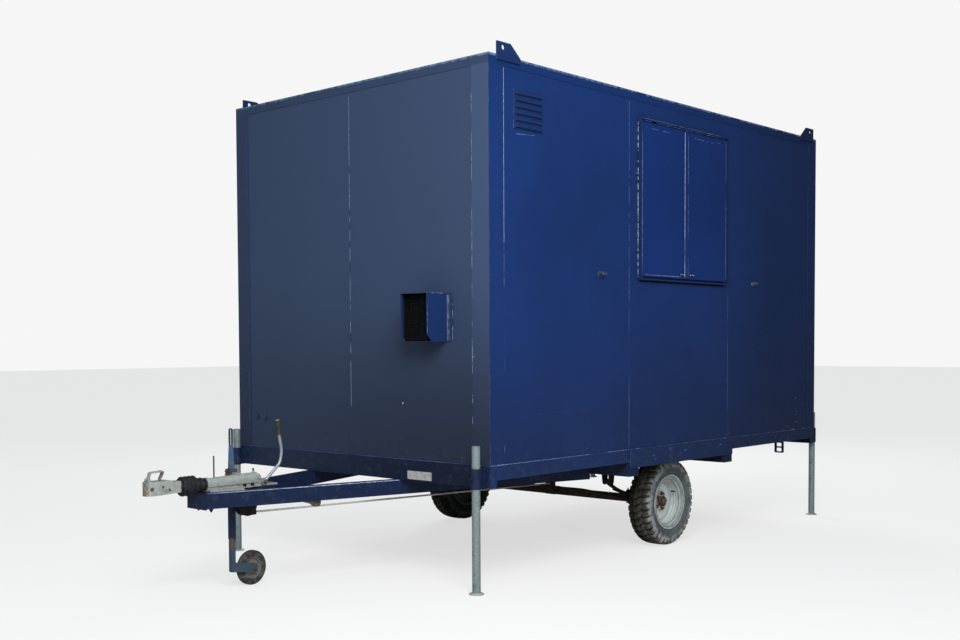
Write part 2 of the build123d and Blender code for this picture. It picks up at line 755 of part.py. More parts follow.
with BuildPart() as leaf_springs:
    for y in y_springs:
        with BuildSketch(Plane.XZ.offset(-y + spring_width / 2)):
            for i in range(spring_leaf_count):
                under = spring_arc + spring_leaf * i
                over = under - spring_leaf
                sweep_angle = math.degrees(math.asin(spring_half_span * (1 - 0.27 * i) / spring_arc))
                with BuildLine():
                    ThreePointArc(on_spring(under, -sweep_angle), on_spring(under, 0),
                                  on_spring(under, sweep_angle))
                    Line(on_spring(under, sweep_angle), on_spring(over, sweep_angle))
                    ThreePointArc(on_spring(over, sweep_angle), on_spring(over, 0),
                                  on_spring(over, -sweep_angle))
                    Line(on_spring(over, -sweep_angle), on_spring(under, -sweep_angle))
                make_face()
            with Locations(*[(x, spring_eye_height) for x in hanger_places]):
                Circle(spring_eye_radius)
            with Locations(*[(x, spring_eye_height) for x in hanger_places]):
                Circle(hanger_pin_radius + running_clearance, mode=Mode.SUBTRACT)
        extrude(amount=-spring_width)
        y_leg = spring_width / 2 + u_bolt_gap + u_bolt_radius
        x_leg_offset = axle_size / 2 + u_bolt_gap + u_bolt_radius
        half_x = x_leg_offset + 2 * u_bolt_radius
        half_y = y_leg + 2 * u_bolt_radius
        z_seat_plate = spring_seat - axle_size
        block(x_axle - half_x, x_axle + half_x, y - half_y, y + half_y, z_clip - 2, z_clip + 12)
        block(x_axle - half_x, x_axle + half_x, y - half_y, y + half_y,
              z_seat_plate - seat_plate_thickness, z_seat_plate)
        z_legs = (z_seat_plate - seat_plate_thickness, z_clip + 26)
        with BuildSketch(Plane.XY.offset(z_legs[0])):
            with Locations((x_axle, y)):
                with GridLocations(2 * x_leg_offset, 2 * y_leg, 2, 2):
                    RegularPolygon(u_bolt_radius, 8)
        extrude(amount=z_legs[1] - z_legs[0])
save(leaf_springs.part, "leaf_springs")

wheel_sides = {"left": (y_left, 1), "right": (y_right, -1)}
for name, (y_side, inward) in wheel_sides.items():
    # Everything here turns about the axle. Distances run from the side face towards the middle.
    outer = y_side + inward * wheel_inset
    axis = Axis((x_axle, 0, z_axle), (0, 1, 0))

    def at(distance, radius):
        """A point of a wheel's half section, from the tyre's outer face inwards."""
        return (outer + inward * distance, radius)

    section = Plane((x_axle, 0, z_axle), x_dir=(0, 1, 0), z_dir=(1, 0, 0))
    sidewall = wheel_radius - rim_radius
    with BuildPart() as tyre:
        with BuildSketch(section):
            with BuildLine():
                Polyline(at(tyre_width / 2, bead_radius), at(rim_edge, bead_radius),
                         at(rim_edge, rim_radius),
                         at(0, rim_radius + 0.42 * sidewall),
                         at(0.4 * rim_edge, wheel_radius - tyre_shoulder),
                         at(rim_edge + 8, wheel_radius), at(tyre_width / 2, wheel_radius))
                mirror(about=Plane.YZ.offset(outer + inward * tyre_width / 2))
            make_face()
        revolve(axis=axis)
    save(tyre.part, f"tyre_{name}")

    with BuildPart() as rim:
        with BuildSketch(section):
            with BuildLine():
                Polyline(at(rim_edge - 8, rim_radius), at(rim_edge, rim_radius), at(rim_edge, bead_radius),
                         at(tyre_width - rim_edge, bead_radius), at(tyre_width - rim_edge, rim_radius),
                         at(tyre_width - rim_edge + 8, rim_radius),
                         at(tyre_width - rim_edge + 4, bead_radius - rim_sheet),
                         at(disc_offset + 26, bead_radius - rim_sheet),
                         at(disc_offset + 6, hub_radius + 26),
                         at(disc_offset + 6, hub_cap_radius + running_clearance),
                         at(disc_offset, hub_cap_radius + running_clearance),
                         at(disc_offset, hub_radius + 28), at(disc_offset + 10, bead_radius - rim_step),
                         at(rim_edge + 20, bead_radius - rim_step),
                         at(rim_edge + 10, bead_radius - rim_sheet),
                         at(rim_edge - 4, bead_radius - rim_sheet), close=True)
            make_face()
        revolve(axis=axis)
    save(rim.part, f"rim_{name}")

    with BuildPart() as hub:
        with BuildSketch(section):
            with BuildLine():
                Polyline(at(disc_offset - hub_cap_reach, 0),
                         at(disc_offset - hub_cap_reach, hub_cap_radius - 8),
                         at(disc_offset - hub_cap_reach + 8, hub_cap_radius),
                         at(disc_offset + 6, hub_cap_radius),
                         at(disc_offset + 6, hub_radius + 18), at(disc_offset + 20, drum_radius),
                         at(disc_offset + 20 + drum_width, drum_radius),
                         at(disc_offset + 20 + drum_width, stub_radius + running_clearance),
                         at(disc_offset - 1, stub_radius + running_clearance), at(disc_offset - 1, 0),
                         close=True)
            make_face()
        revolve(axis=axis)
        with BuildSketch(Plane((x_axle, outer + inward * disc_offset, z_axle), x_dir=(1, 0, 0),
                               z_dir=(0, -inward, 0))):
            with PolarLocations(stud_circle_radius, stud_count):
                RegularPolygon(10, 6)
        extrude(amount=14)
    save(hub.part, f"hub_{name}")

# ---------------------------------------------------------------- overrun coupling
z_shaft = z_end_rail + coupling_axis_rise


def bx(distance):
    """X of a place given as its distance in front of the body's face."""
    return x_front - distance


x_base = bx(housing_front)
x_base_end = bx(housing_shoulder)
x_collar = bx(jockey_setback)
y_collar = jockey_side - leg_size / 2 - moving_clearance - jockey_clamp_wall
with BuildPart() as overrun_housing:
    with BuildSketch(Plane.XY.offset(z_end_rail)):
        with BuildLine():
            Polyline((x_base, beam_inner(x_base) + base_lap),
                     (x_base_end, beam_inner(x_base_end) + base_lap),
                     (x_base_end, housing_base_half), (bx(housing_tail), housing_base_half),
                     (bx(housing_tail), -housing_base_half), (x_base_end, -housing_base_half),
                     (x_base_end, -beam_inner(x_base_end) - base_lap),
                     (x_base, -beam_inner(x_base) - base_lap),
                     close=True)
        make_face()
    extrude(amount=housing_base_thickness)
    # The cast body swells towards its rounded rear end and sits in a flanged saddle.
    with BuildSketch(Plane((0, 0, z_shaft), x_dir=(1, 0, 0), z_dir=(0, -1, 0))):
        with BuildLine():
            Polyline((bx(housing_front), 0), (bx(housing_front), housing_collar),
                     (bx(housing_front - 18), housing_collar), (bx(housing_front - 24), housing_neck),
                     (bx(housing_rear + 90), housing_swell), (bx(housing_rear + 30), housing_swell),
                     (bx(housing_rear + 9), 0.72 * housing_swell), (bx(housing_rear), 0.3 * housing_swell),
                     (bx(housing_rear), 0), close=True)
        make_face()
    revolve(axis=Axis((0, 0, z_shaft), (1, 0, 0)))
    block(bx(housing_front), bx(housing_rear + 14), -housing_saddle, housing_saddle, z_end_rail, z_shaft)
    block(bx(housing_front), bx(housing_rear + 8), -housing_flange, housing_flange,
          z_end_rail + housing_flange_rise, z_end_rail + housing_flange_rise + housing_flange_thickness)
    # Lug for the jockey wheel's collar, and a greasing boss on top.
    block(x_collar - 14, x_collar + 14, 0, y_collar, collar_bottom + 2, collar_bottom + 26)
    with Locations((bx(housing_rear + 46), 0, z_shaft + housing_swell + 2)):
        Cylinder(8, 12)
    with Locations((bx((housing_front + housing_rear + housing_end_wall) / 2), 0, z_shaft)):
        Cylinder(shaft_radius + shaft_clearance, housing_front - housing_rear - housing_end_wall,
                 rotation=(0, 90, 0), mode=Mode.SUBTRACT)
    with Locations((bx(rod_setback), 0, (z_shaft + housing_neck + rod_top) / 2 - 2)):
        Cylinder(rod_radius, rod_top - z_shaft - housing_neck + 4)
    # Ear and pin that carry the handbrake lever.
    block(bx(lever_setback + 22), bx(lever_setback - 22), -housing_base_half, -housing_base_half + 9,
          z_end_rail, z_end_rail + lever_rise + 22)
    with Locations((bx(lever_setback), (-housing_base_half - lever_side - 12) / 2,
                    z_end_rail + lever_rise)):
        Cylinder(lever_pin_radius, lever_side + 12 - housing_base_half, rotation=(90, 0, 0))
save(overrun_housing.part, "overrun_housing")

shaft_end = housing_rear + housing_end_wall + shaft_travel + 12
with BuildPart() as coupling_shaft:
    with Locations(((bx(bellows_front) + bx(shaft_end)) / 2, 0, z_shaft)):
        Cylinder(shaft_radius, bellows_front - shaft_end, rotation=(0, 90, 0))
save(coupling_shaft.part, "coupling_shaft")

z_head = z_shaft + 7
z_head_top = z_head + head_height / 2
z_head_bottom = z_head - head_height / 2
z_ball = z_head - 14
x_ball = bx(head_tip - ball_setback)
x_handle = bx(head_tip - handle_setback)
z_handle_pin = z_head_top + handle_pin_rise
y_ear = handle_width / 2 + 0.3
with BuildPart() as coupling_head:
    with BuildSketch(Plane.XY.offset(z_head_bottom)):
        with BuildLine():
            Line((bx(bellows_front), -head_neck_half_width), (bx(bellows_front), head_neck_half_width))
            Line((bx(bellows_front), head_neck_half_width), (x_ball + 20, head_half_width))
            Line((x_ball + 20, head_half_width), (x_ball - 20, head_half_width - 2))
            ThreePointArc((x_ball - 20, head_half_width - 2), (bx(head_tip), 0),
                          (x_ball - 20, -head_half_width + 2))
            Line((x_ball - 20, -head_half_width + 2), (x_ball + 20, -head_half_width))
            Line((x_ball + 20, -head_half_width), (bx(bellows_front), -head_neck_half_width))
        make_face()
    extrude(amount=head_height)
    with BuildSketch(Plane.XZ.offset(-head_half_width)):
        with BuildLine():
            Polyline((bx(head_tip), z_head_bottom), (bx(head_tip), z_head_top - 16),
                     (bx(head_tip - 12), z_head_top), (bx(head_tip - 150), z_head_top),
                     (bx(head_tip - 168), z_head_top - 8), (bx(bellows_front), z_head_top - 10),
                     (bx(bellows_front), z_head_bottom + 4), (bx(head_tip - 96), z_head_bottom), close=True)
        make_face()
    extrude(amount=2 * head_half_width, mode=Mode.INTERSECT)
    with Locations((x_ball, 0, z_ball)):
        Sphere(ball_radius, mode=Mode.SUBTRACT)
    with Locations((x_ball, 0, z_ball - head_height / 2)):
        Cylinder(ball_radius, head_height, mode=Mode.SUBTRACT)
    block(x_ball + ball_radius + head_wall, bx(bellows_front) - 2 * head_wall,
          head_wall - head_neck_half_width, head_neck_half_width - head_wall,
          z_head_bottom - 1, z_head_top - 10 - head_wall, mode=Mode.SUBTRACT)
    # Ears and pin that carry the handle.
    for y0 in (-y_ear - handle_ear, y_ear):
        with BuildSketch(Plane.XZ.offset(-y0)):
            with Locations((x_handle, z_handle_pin)):
                Circle(handle_boss + 2)
            with Locations((x_handle, (z_handle_pin + z_head_top - 12) / 2)):
                Rectangle(2 * handle_boss + 4, z_handle_pin - z_head_top + 12)
        extrude(amount=-handle_ear)
    with Locations((x_handle, 0, z_handle_pin)):
        Cylinder(handle_pin_radius, 2 * (y_ear + handle_ear), rotation=(90, 0, 0))
save(coupling_head.part, "coupling_head")

# The handle is a cast loop: a boss on the pin, a raked front leg, a bar and a rear leg.
x_loop_end = x_handle + handle_length
z_bar = z_handle_pin + handle_height - handle_bar / 2
z_toe = z_head_top + 0.5 + handle_bar / 2
with BuildPart() as coupling_handle:
    with BuildSketch(Plane.XZ.offset(handle_width / 2)):
        with BuildLine():
            FilletPolyline((x_handle, z_handle_pin), (x_handle + 14, z_bar), (x_loop_end - 10, z_bar + 4),
                           (x_loop_end - 34, z_toe), radius=7)
        trace(line_width=handle_bar)
        with Locations((x_handle, z_handle_pin)):
            Circle(handle_boss)
            Circle(handle_pin_radius + running_clearance, mode=Mode.SUBTRACT)
    extrude(amount=-handle_width)
save(coupling_handle.part, "coupling_handle")

rib_end = bellows_rear + bellows_collar
rib_pitch = (bellows_front - 10 - rib_end) / (bellows_ribs + tail_ribs)
rib_crests = [bellows_radius] * bellows_ribs + [tail_rib_radius] * tail_ribs
rib_valleys = [bellows_valley] * bellows_ribs + [tail_rib_valley] * (tail_ribs + 1)
bellows_bore = z_shaft + shaft_radius + 0.3
with BuildPart() as bellows:
    with BuildSketch(Plane.XZ):
        with BuildLine():
            Polyline((bx(bellows_front) + 10, z_shaft + bellows_valley),
                     (bx(bellows_front) + 10, z_shaft + bellows_neck),
                     (bx(bellows_front), z_shaft + bellows_neck), (bx(bellows_front), bellows_bore),
                     (bx(bellows_rear), bellows_bore), (bx(bellows_rear), z_shaft + bellows_neck),
                     (bx(rib_end), z_shaft + bellows_neck), (bx(rib_end), z_shaft + tail_rib_valley))
            for i, crest in enumerate(rib_crests):
                x = bx(bellows_front) + 10 + i * rib_pitch
                Polyline((x, z_shaft + rib_valleys[i]), (x + 0.35 * rib_pitch, z_shaft + crest),
                         (x + 0.65 * rib_pitch, z_shaft + crest),
                         (x + rib_pitch, z_shaft + rib_valleys[i + 1]))
        make_face()
    revolve(axis=Axis((0, 0, z_shaft), (1, 0, 0)))
save(bellows.part, "bellows")

# ---------------------------------------------------------------- handbrake lever
z_lever = z_end_rail + lever_rise
with BuildPart() as handbrake_lever:
    with BuildLine(Plane.XZ.offset(lever_side)) as lever_path:
        FilletPolyline((bx(lever_setback), z_lever), (bx(lever_setback - 119), z_lever + 100),
                       (bx(lever_setback - 135), z_lever + 172), (bx(lever_setback - 116), z_lever + 268),
                       (bx(lever_setback - 104), z_lever + 356), radius=(60, 120, 300))
    with BuildSketch(Plane(lever_path.line @ 0, z_dir=lever_path.line % 0)):
        Circle(lever_radius)
    sweep()
    with Locations((bx(lever_setback), -lever_side, z_lever)):
        Cylinder(lever_boss_radius, 2 * lever_radius + 4, rotation=(90, 0, 0))
        Cylinder(lever_pin_radius + running_clearance, 2 * lever_radius + 6, rotation=(90, 0, 0),
                 mode=Mode.SUBTRACT)
    with BuildSketch(Plane(lever_path.line @ 1, z_dir=lever_path.line % 1)):
        Circle(grip_radius)
    extrude(amount=-grip_length)
save(handbrake_lever.part, "handbrake_lever")

# ---------------------------------------------------------------- jockey wheel
x_leg = bx(jockey_setback)
leg_bore = leg_size / 2 + moving_clearance
clamp_half = leg_bore + jockey_clamp_wall
z_clamp = z_end_rail - 2 - jockey_clamp_height
z_collar_top = collar_bottom + collar_height
with BuildPart() as jockey_clamp:
    block(x_leg - clamp_half, x_leg + clamp_half, jockey_side - clamp_half, beam_inner(x_leg - clamp_half),
          z_clamp, z_clamp + jockey_clamp_height)
    block(x_leg - clamp_half, x_leg + clamp_half, y_collar, jockey_side + clamp_half,
          collar_bottom, z_collar_top)
    block(x_leg - leg_bore, x_leg + leg_bore, jockey_side - leg_bore, jockey_side + leg_bore,
          z_clamp - 2, z_collar_top + 2, mode=Mode.SUBTRACT)
save(jockey_clamp.part, "jockey_clamp")

x_jockey = x_leg + jockey_trail
y_jockey = jockey_side - leg_size / 2 + arm_thickness + 4 + jockey_width / 2
y_arm = jockey_side - leg_size / 2
z_loop_middle = leg_top + leg_loop_height / 2 - leg_loop_wall
with BuildPart() as jockey_leg:
    with Locations((x_leg, jockey_side, (leg_bottom + inner_leg_top) / 2)):
        Box(inner_leg_size, inner_leg_size, inner_leg_top - leg_bottom)
    with Locations((x_leg, jockey_side, (inner_leg_top + leg_square_top) / 2)):
        Box(leg_size, leg_size, leg_square_top - inner_leg_top)
    # Flat tapered bar, ending in a long loop.
    with BuildSketch(Plane.XZ.offset(-jockey_side + leg_bar / 2)):
        with BuildLine():
            Polyline((x_leg - 19, leg_square_top), (x_leg + 19, leg_square_top),
                     (x_leg + leg_loop_radius, leg_top),
                     (x_leg - leg_loop_radius, leg_top), close=True)
        make_face()
        with Locations((x_leg, z_loop_middle)):
            SlotOverall(leg_loop_height, 2 * leg_loop_radius, rotation=90)
            SlotOverall(leg_loop_height - 2 * leg_loop_wall, 2 * (leg_loop_radius - leg_loop_wall),
                        rotation=90,
                        mode=Mode.SUBTRACT)
    extrude(amount=-leg_bar)
    with BuildSketch(Plane.XZ.offset(-y_arm)):
        with BuildLine():
            Polyline((x_leg - inner_leg_size / 2, leg_bottom), (x_jockey + 22, leg_bottom - 22),
                     (x_jockey + 22, leg_bottom + 30),
                     (x_leg - inner_leg_size / 2, leg_bottom + arm_height),
                     close=True)
        make_face()
    extrude(amount=-arm_thickness)
    with Locations((x_jockey, (y_arm + y_jockey + jockey_width / 2 + 4) / 2, jockey_radius)):
        Cylinder(8, y_jockey + jockey_width / 2 + 4 - y_arm, rotation=(90, 0, 0))
save(jockey_leg.part, "jockey_leg")

jockey_rim_radius = 64
jockey_section = Plane((x_jockey, y_jockey, jockey_radius), x_dir=(0, 1, 0), z_dir=(1, 0, 0))
jockey_axis = Axis((x_jockey, 0, jockey_radius), (0, 1, 0))
with BuildPart() as jockey_rim:
    with BuildSketch(jockey_section):
        with BuildLine():
            Polyline((-18, 8 + running_clearance), (-18, 20), (-4, 24), (-4, 52),
                     (-16, jockey_rim_radius - 6),
                     (-16, jockey_rim_radius), (16, jockey_rim_radius), (16, jockey_rim_radius - 6),
                     (4, 52),
                     (4, 24), (18, 20), (18, 8 + running_clearance), close=True)
        make_face()
    revolve(axis=jockey_axis)
save(jockey_rim.part, "jockey_rim")

with BuildPart() as jockey_tyre:
    with BuildSketch(jockey_section):
        with BuildLine():
            Polyline((-jockey_width / 2 + 3, jockey_rim_radius),
                     (-jockey_width / 2, jockey_rim_radius + 15),
                     (-jockey_width / 2 + 3, jockey_radius - 9), (-9, jockey_radius), (9, jockey_radius),
                     (jockey_width / 2 - 3, jockey_radius - 9), (jockey_width / 2, jockey_rim_radius + 15),
                     (jockey_width / 2 - 3, jockey_rim_radius), close=True)
        make_face()
    revolve(axis=jockey_axis)
save(jockey_tyre.part, "jockey_tyre")

# ---------------------------------------------------------------- small fittings
with BuildPart() as front_reflector:
    block(x_front - 4, x_front, y_left + reflector_inset, y_left + reflector_inset + reflector_width,
          z_end_rail + 10, z_end_rail + 10 + reflector_height)
save(front_reflector.part, "front_reflector")

with BuildPart() as wall_hooks:
    for inset in hook_insets:
        with BuildSketch(Plane.XZ.offset(-y_right + inset + hook_bar / 2)):
            with Locations((x_front + wall_outer, hook_height)):
                Circle(hook_radius)
                Circle(hook_radius - hook_bar, mode=Mode.SUBTRACT)
            with Locations((x_front + wall_outer + hook_radius, hook_height)):
                Rectangle(2 * hook_radius, 3 * hook_radius, mode=Mode.SUBTRACT)
        extrude(amount=-hook_bar)
save(wall_hooks.part, "wall_hooks")

with BuildPart() as rear_bracket:
    with BuildSketch(Plane.YZ.offset(x_front + tie_setback)):
        with Locations((y_left + tie_width / 2 + 4, deck_height - tie_height / 2)):
            RectangleRounded(tie_width, tie_height, 10)
            with GridLocations(0, tie_height / 2 - 5, 1, 2):
                RectangleRounded(*tie_slot, 6, mode=Mode.SUBTRACT)
    extrude(amount=8)
save(rear_bracket.part, "rear_bracket")

z_linkage = z_end_rail - beam_depth - linkage_drop
z_rod_front = z_linkage + 16
x_linkage = bx((linkage_front + linkage_rear) / 2)
linkage_plate = 6
with BuildPart() as brake_linkage:
    for y0 in (-linkage_width / 2, linkage_width / 2 - linkage_plate):
        with BuildSketch(Plane.XZ.offset(-y0)):
            with BuildLine():
                Line((bx(linkage_front), z_end_rail), (bx(linkage_front), z_beam))
                ThreePointArc((bx(linkage_front), z_beam), (x_linkage, z_linkage),
                              (bx(linkage_rear), z_beam))
                Line((bx(linkage_rear), z_beam), (bx(linkage_rear), z_end_rail))
                Line((bx(linkage_rear), z_end_rail), (bx(linkage_front), z_end_rail))
            make_face()
        extrude(amount=-linkage_plate)
    # Clevis block between the plates, where the brake rod starts.
    block(x_linkage, bx(linkage_rear), linkage_plate - linkage_width / 2, linkage_width / 2 - linkage_plate,
          z_rod_front - 14, z_rod_front + 14)
save(brake_linkage.part, "brake_linkage")

z_rod_rear = z_axle + axle_size / 2 + 30
rod_run = x_axle - compensator_half - bx(linkage_rear) - 2 * rod_end_gap
rod_fall = z_rod_front - z_rod_rear
with BuildPart() as brake_rod:
    with BuildSketch(Plane((bx(linkage_rear) + rod_end_gap, 0, z_rod_front),
                           z_dir=(rod_run, 0, -rod_fall))):
        Circle(brake_rod_radius)
    extrude(amount=math.hypot(rod_run, rod_fall))
save(brake_rod.part, "brake_rod")
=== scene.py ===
"""Looks for the portable site cabin: paint, steel, rubber, treaded tyres, fasteners, wear, light and camera.

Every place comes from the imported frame. Lengths are in metres, and +X runs from the hitch to the rear.
"""

import json
import math

import bmesh
import bpy
import numpy as np
from mathutils import Matrix, Vector


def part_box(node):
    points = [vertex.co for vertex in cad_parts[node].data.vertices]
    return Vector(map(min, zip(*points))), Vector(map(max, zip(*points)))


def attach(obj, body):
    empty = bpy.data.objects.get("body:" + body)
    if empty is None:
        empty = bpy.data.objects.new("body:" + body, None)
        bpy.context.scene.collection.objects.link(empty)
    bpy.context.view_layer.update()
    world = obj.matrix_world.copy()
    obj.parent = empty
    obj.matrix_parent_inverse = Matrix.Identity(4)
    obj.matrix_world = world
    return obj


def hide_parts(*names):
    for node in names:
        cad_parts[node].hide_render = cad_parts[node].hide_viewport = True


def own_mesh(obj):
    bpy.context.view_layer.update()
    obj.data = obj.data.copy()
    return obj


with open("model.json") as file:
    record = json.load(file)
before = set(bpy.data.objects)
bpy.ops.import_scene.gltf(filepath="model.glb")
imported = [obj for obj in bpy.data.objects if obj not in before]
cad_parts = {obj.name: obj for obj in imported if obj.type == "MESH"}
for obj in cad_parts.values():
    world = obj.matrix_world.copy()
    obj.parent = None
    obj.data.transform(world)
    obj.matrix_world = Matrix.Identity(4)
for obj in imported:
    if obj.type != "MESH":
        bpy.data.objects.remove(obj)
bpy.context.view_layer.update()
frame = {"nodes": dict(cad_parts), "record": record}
nodes = frame["nodes"]


# ---------------------------------------------------------------- places taken from the frame
post_low, post_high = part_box("corner_posts")
x_front, y_left, z_sill = post_low
x_rear, y_right, z_eaves = post_high
panels_low, panels_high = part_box("left_wall_panels")
bay_low, bay_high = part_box("left_wall_window_bay")
window_low, window_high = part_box("window_frame")
leaf_low, leaf_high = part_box("shutters")
cowl_low, cowl_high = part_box("vent_cowl")
louvre_low, louvre_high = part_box("louvre_vent")
beam_low, beam_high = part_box("drawbar_beams")
nose_low, nose_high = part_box("nose_plate")
shaft_low, shaft_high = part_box("coupling_shaft")
door_low, door_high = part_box("door_leaf")
rail_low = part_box("base_end_rails")[0]
head_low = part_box("coupling_head")[0]
housing_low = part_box("overrun_housing")[0]
leg_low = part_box("jockey_leg")[0]
x_meeting = (leaf_low.x + leaf_high.x) / 2
z_shaft = (shaft_low.z + shaft_high.z) / 2
wall_face = 0.003                      # the wall sheets sit this far inside the posts' faces
cowl_skirt = 0.049                     # width of the cowl's wall flanges
left = Vector((0, -1, 0))              # out of the window side
front = Vector((-1, 0, 0))             # out of the hitch end


# ---------------------------------------------------------------- shader building
def colour(rgb, alpha=1.0):
    """A display colour of 0 to 255 as the linear value that shaders take."""
    linear = []
    for value in rgb:
        share = value / 255
        linear.append(share / 12.92 if share <= 0.04045 else ((share + 0.055) / 1.055) ** 2.4)
    return (*linear, alpha)


def as_colour(value):
    """A node's output as it is, or a display colour in a shader's terms."""
    return value if isinstance(value, bpy.types.NodeSocket) else colour(value)


class Shader:
    """A material's node tree, with short names for the nodes that the finishes below share."""

    def __init__(self, material):
        self.material, self.tree = material, material.node_tree
        self.surface = self.tree.nodes["Principled BSDF"]
        self.place = self.tree.nodes.new("ShaderNodeTexCoord").outputs["Object"]

    @classmethod
    def new(cls, name, roughness=0.5, metallic=0.0):
        """A new material. Its base reflection is a little under a plain gloss."""
        material = bpy.data.materials.new(name)
        material.use_nodes = True
        s = cls(material)
        for key, value in (("Roughness", roughness), ("Metallic", metallic), ("Specular IOR Level", 0.25)):
            s.surface.inputs[key].default_value = value
        return s

    def put(self, value, socket):
        """Links an output to a socket, or sets the socket to a plain value."""
        if isinstance(value, bpy.types.NodeSocket):
            self.tree.links.new(value, socket)
        else:
            socket.default_value = value

    def node(self, kind, inputs, **settings):
        """A new node with its settings, and its inputs by name or number."""
        node = self.tree.nodes.new(f"ShaderNode{kind}")
        for name, value in settings.items():
            setattr(node, name, value)
        for key, value in inputs.items():
            self.put(value, node.inputs[key])
        return node

    def math(self, operation, a, b=0.0):
        return self.node("Math", {0: a, 1: b}, operation=operation).outputs[0]

    def times(self, first, *others):
        for other in others:
            first = self.math("MULTIPLY", first, other)
        return first

    def step(self, value, low, high):
        """0 below low and 1 above high, with a soft rise between. Low may lie above high."""
        rises = low < high
        ends = {"Value": value, "From Min": min(low, high), "From Max": max(low, high),
                "To Min": 0.0 if rises else 1.0, "To Max": 1.0 if rises else 0.0}
        return self.node("MapRange", ends, interpolation_type="SMOOTHSTEP").outputs["Result"]

    def band(self, value, rise, fall):
        """1 between two soft edges. Each edge is given as where it is 0 and where it is 1."""
        return self.times(self.step(value, *rise), self.step(value, *fall))

    def mix(self, factor, a, b):
        return self.node("Mix", {0: factor, 6: as_colour(a), 7: as_colour(b)}, data_type="RGBA").outputs[2]

    def wash(self, body, where, share, tint):
        """Lays a tint over the body where a mask says, up to a share."""
        return self.mix(self.times(where, share), body, tint)

    def noise(self, scale, detail=4.0, rough=0.55, stretch=(1, 1, 1)):
        place = self.node("Mapping", {"Scale": stretch, "Vector": self.place}).outputs["Vector"]
        inputs = {"Scale": scale, "Detail": detail, "Roughness": rough, "Vector": place}
        return self.node("TexNoise", inputs).outputs["Fac"]

    def cells(self, scale):
        return self.node("TexVoronoi", {"Scale": scale, "Vector": self.place}).outputs["Color"]

    def axes(self, vector=None):
        return self.node("SeparateXYZ", {0: self.place if vector is None else vector}).outputs

    def facing(self, axis):
        """How far the surface's own normal points along an axis, -1 to 1."""
        return self.axes(self.node("NewGeometry", {}).outputs["Normal"])[axis]

    def radius(self, centre, across=("X", "Z")):
        """Distance from an axle, seen along it."""
        axes = self.axes()
        squares = []
        for name, value in zip(across, centre):
            offset = self.math("SUBTRACT", axes[name], value)
            squares.append(self.times(offset, offset))
        return self.math("SQRT", self.math("ADD", *squares))

    def bump(self, height, distance, strength=1.0):
        """Adds relief to the surface, over any that it already has."""
        normal = self.surface.inputs["Normal"]
        inputs = {"Distance": distance, "Strength": strength, "Height": height}
        if normal.is_linked:
            inputs["Normal"] = normal.links[0].from_socket
        self.put(self.node("Bump", inputs).outputs["Normal"], normal)

    def finish(self, base, roughness=None):
        self.put(as_colour(base), self.surface.inputs["Base Color"])
        if roughness is not None:
            self.put(roughness, self.surface.inputs["Roughness"])
        return self.material

    def retint(self, where, tint):
        """Mixes a tint into a finished material where a mask says."""
        paint = self.surface.inputs["Base Color"].links[0].from_socket
        return self.finish(self.mix(where, paint, tint))


# ---------------------------------------------------------------- finishes
def navy_paint(name, fresh, hitch_face_tone, dull=0.42, grime=0.35, sheet_wave=0.0, far=None):
    """Navy gloss over steel, streaked by rain; paler on the hitch end from sun fading and painted light,
    darker low down from road dirt and painted shade, and darker toward the rear as painted shade.

    The hitch end turns to the far colour toward the door side, where one is given.
    """
    s = Shader.new(name, dull)
    x, y, height = s.axes()
    fine = s.noise(22, 5, 0.6)
    streaks = s.noise(1.0, 5, 0.6, (16, 16, 0.7))
    hitch_end = s.step(s.facing("X"), -0.3, -0.9)
    aside = s.step(y, y_right, y_left)
    body = s.mix(s.step(s.noise(0.9, 3), 0.35, 0.7), fresh, [c * 0.90 for c in fresh])
    body = s.wash(body, s.step(streaks, 0.54, 0.76), 0.08, hitch_face_tone)
    # Hitch-facing faces take their own tone: on the walls a paler one, part sun fading and part painted
    # light for faces turned to the lamp.
    body = s.mix(hitch_end, body, s.mix(aside, far, hitch_face_tone) if far else hitch_face_tone)
    # Darker low down: part road dirt, part painted shade for light from above.
    body = s.wash(body, s.step(height, z_sill + 1.3, z_sill - 0.2), grime, (22, 24, 32))
    # Painted shade: the hitch face darker still toward the bottom, most on the window side.
    shade = s.times(hitch_end, s.step(height, z_sill + 1.1, z_sill))
    body = s.wash(body, shade, s.times(aside, grime * 1.5), (14, 16, 22))
    # Painted shade: darker toward the rear, for the lamp's fall-off along the cabin.
    body = s.wash(body, s.step(x, x_front + 1.8, x_rear), 0.44, (2, 10, 22))
    splash = s.times(s.step(height, z_sill + 0.3, z_sill - 0.1), s.step(fine, 0.50, 0.74))
    body = s.wash(body, splash, 0.18, (84, 88, 98))
    body = s.wash(body, s.step(s.noise(95, 3, 0.5), 0.715, 0.74), 0.3, (78, 92, 124))
    if sheet_wave:
        s.bump(s.noise(1.6, 2, 0.4, (1, 1, 0.7)), sheet_wave, 0.9)
    s.bump(s.noise(240, 2), 0.0006, 0.25)
    return s.finish(body, s.math("ADD", s.times(fine, 0.22), dull - 0.11))


def galvanised(name, tint, grime, rust=0.0, metal=0.35):
    """Weathered zinc: soft spangle, chalky bloom, dark grime and a little rust."""
    s = Shader.new(name, 0.5, metal)
    bloom = s.noise(26, 5, 0.62)
    spangle = s.node("SeparateColor", {0: s.cells(150)}).outputs[0]
    body = s.wash(tint, spangle, 0.28, [c * 0.80 for c in tint])
    body = s.wash(body, s.step(bloom, 0.5, 0.72), 0.65, grime)
    body = s.wash(body, s.step(s.noise(60, 4, 0.6), 0.58, 0.74), 0.35, (196, 201, 196))
    if rust:
        body = s.wash(body, s.step(s.noise(38, 5, 0.7), 0.60, 0.68), rust, (112, 72, 46))
    s.bump(s.noise(180, 3), 0.0008, 0.4)
    return s.finish(body, s.math("ADD", s.times(bloom, 0.35), 0.33))


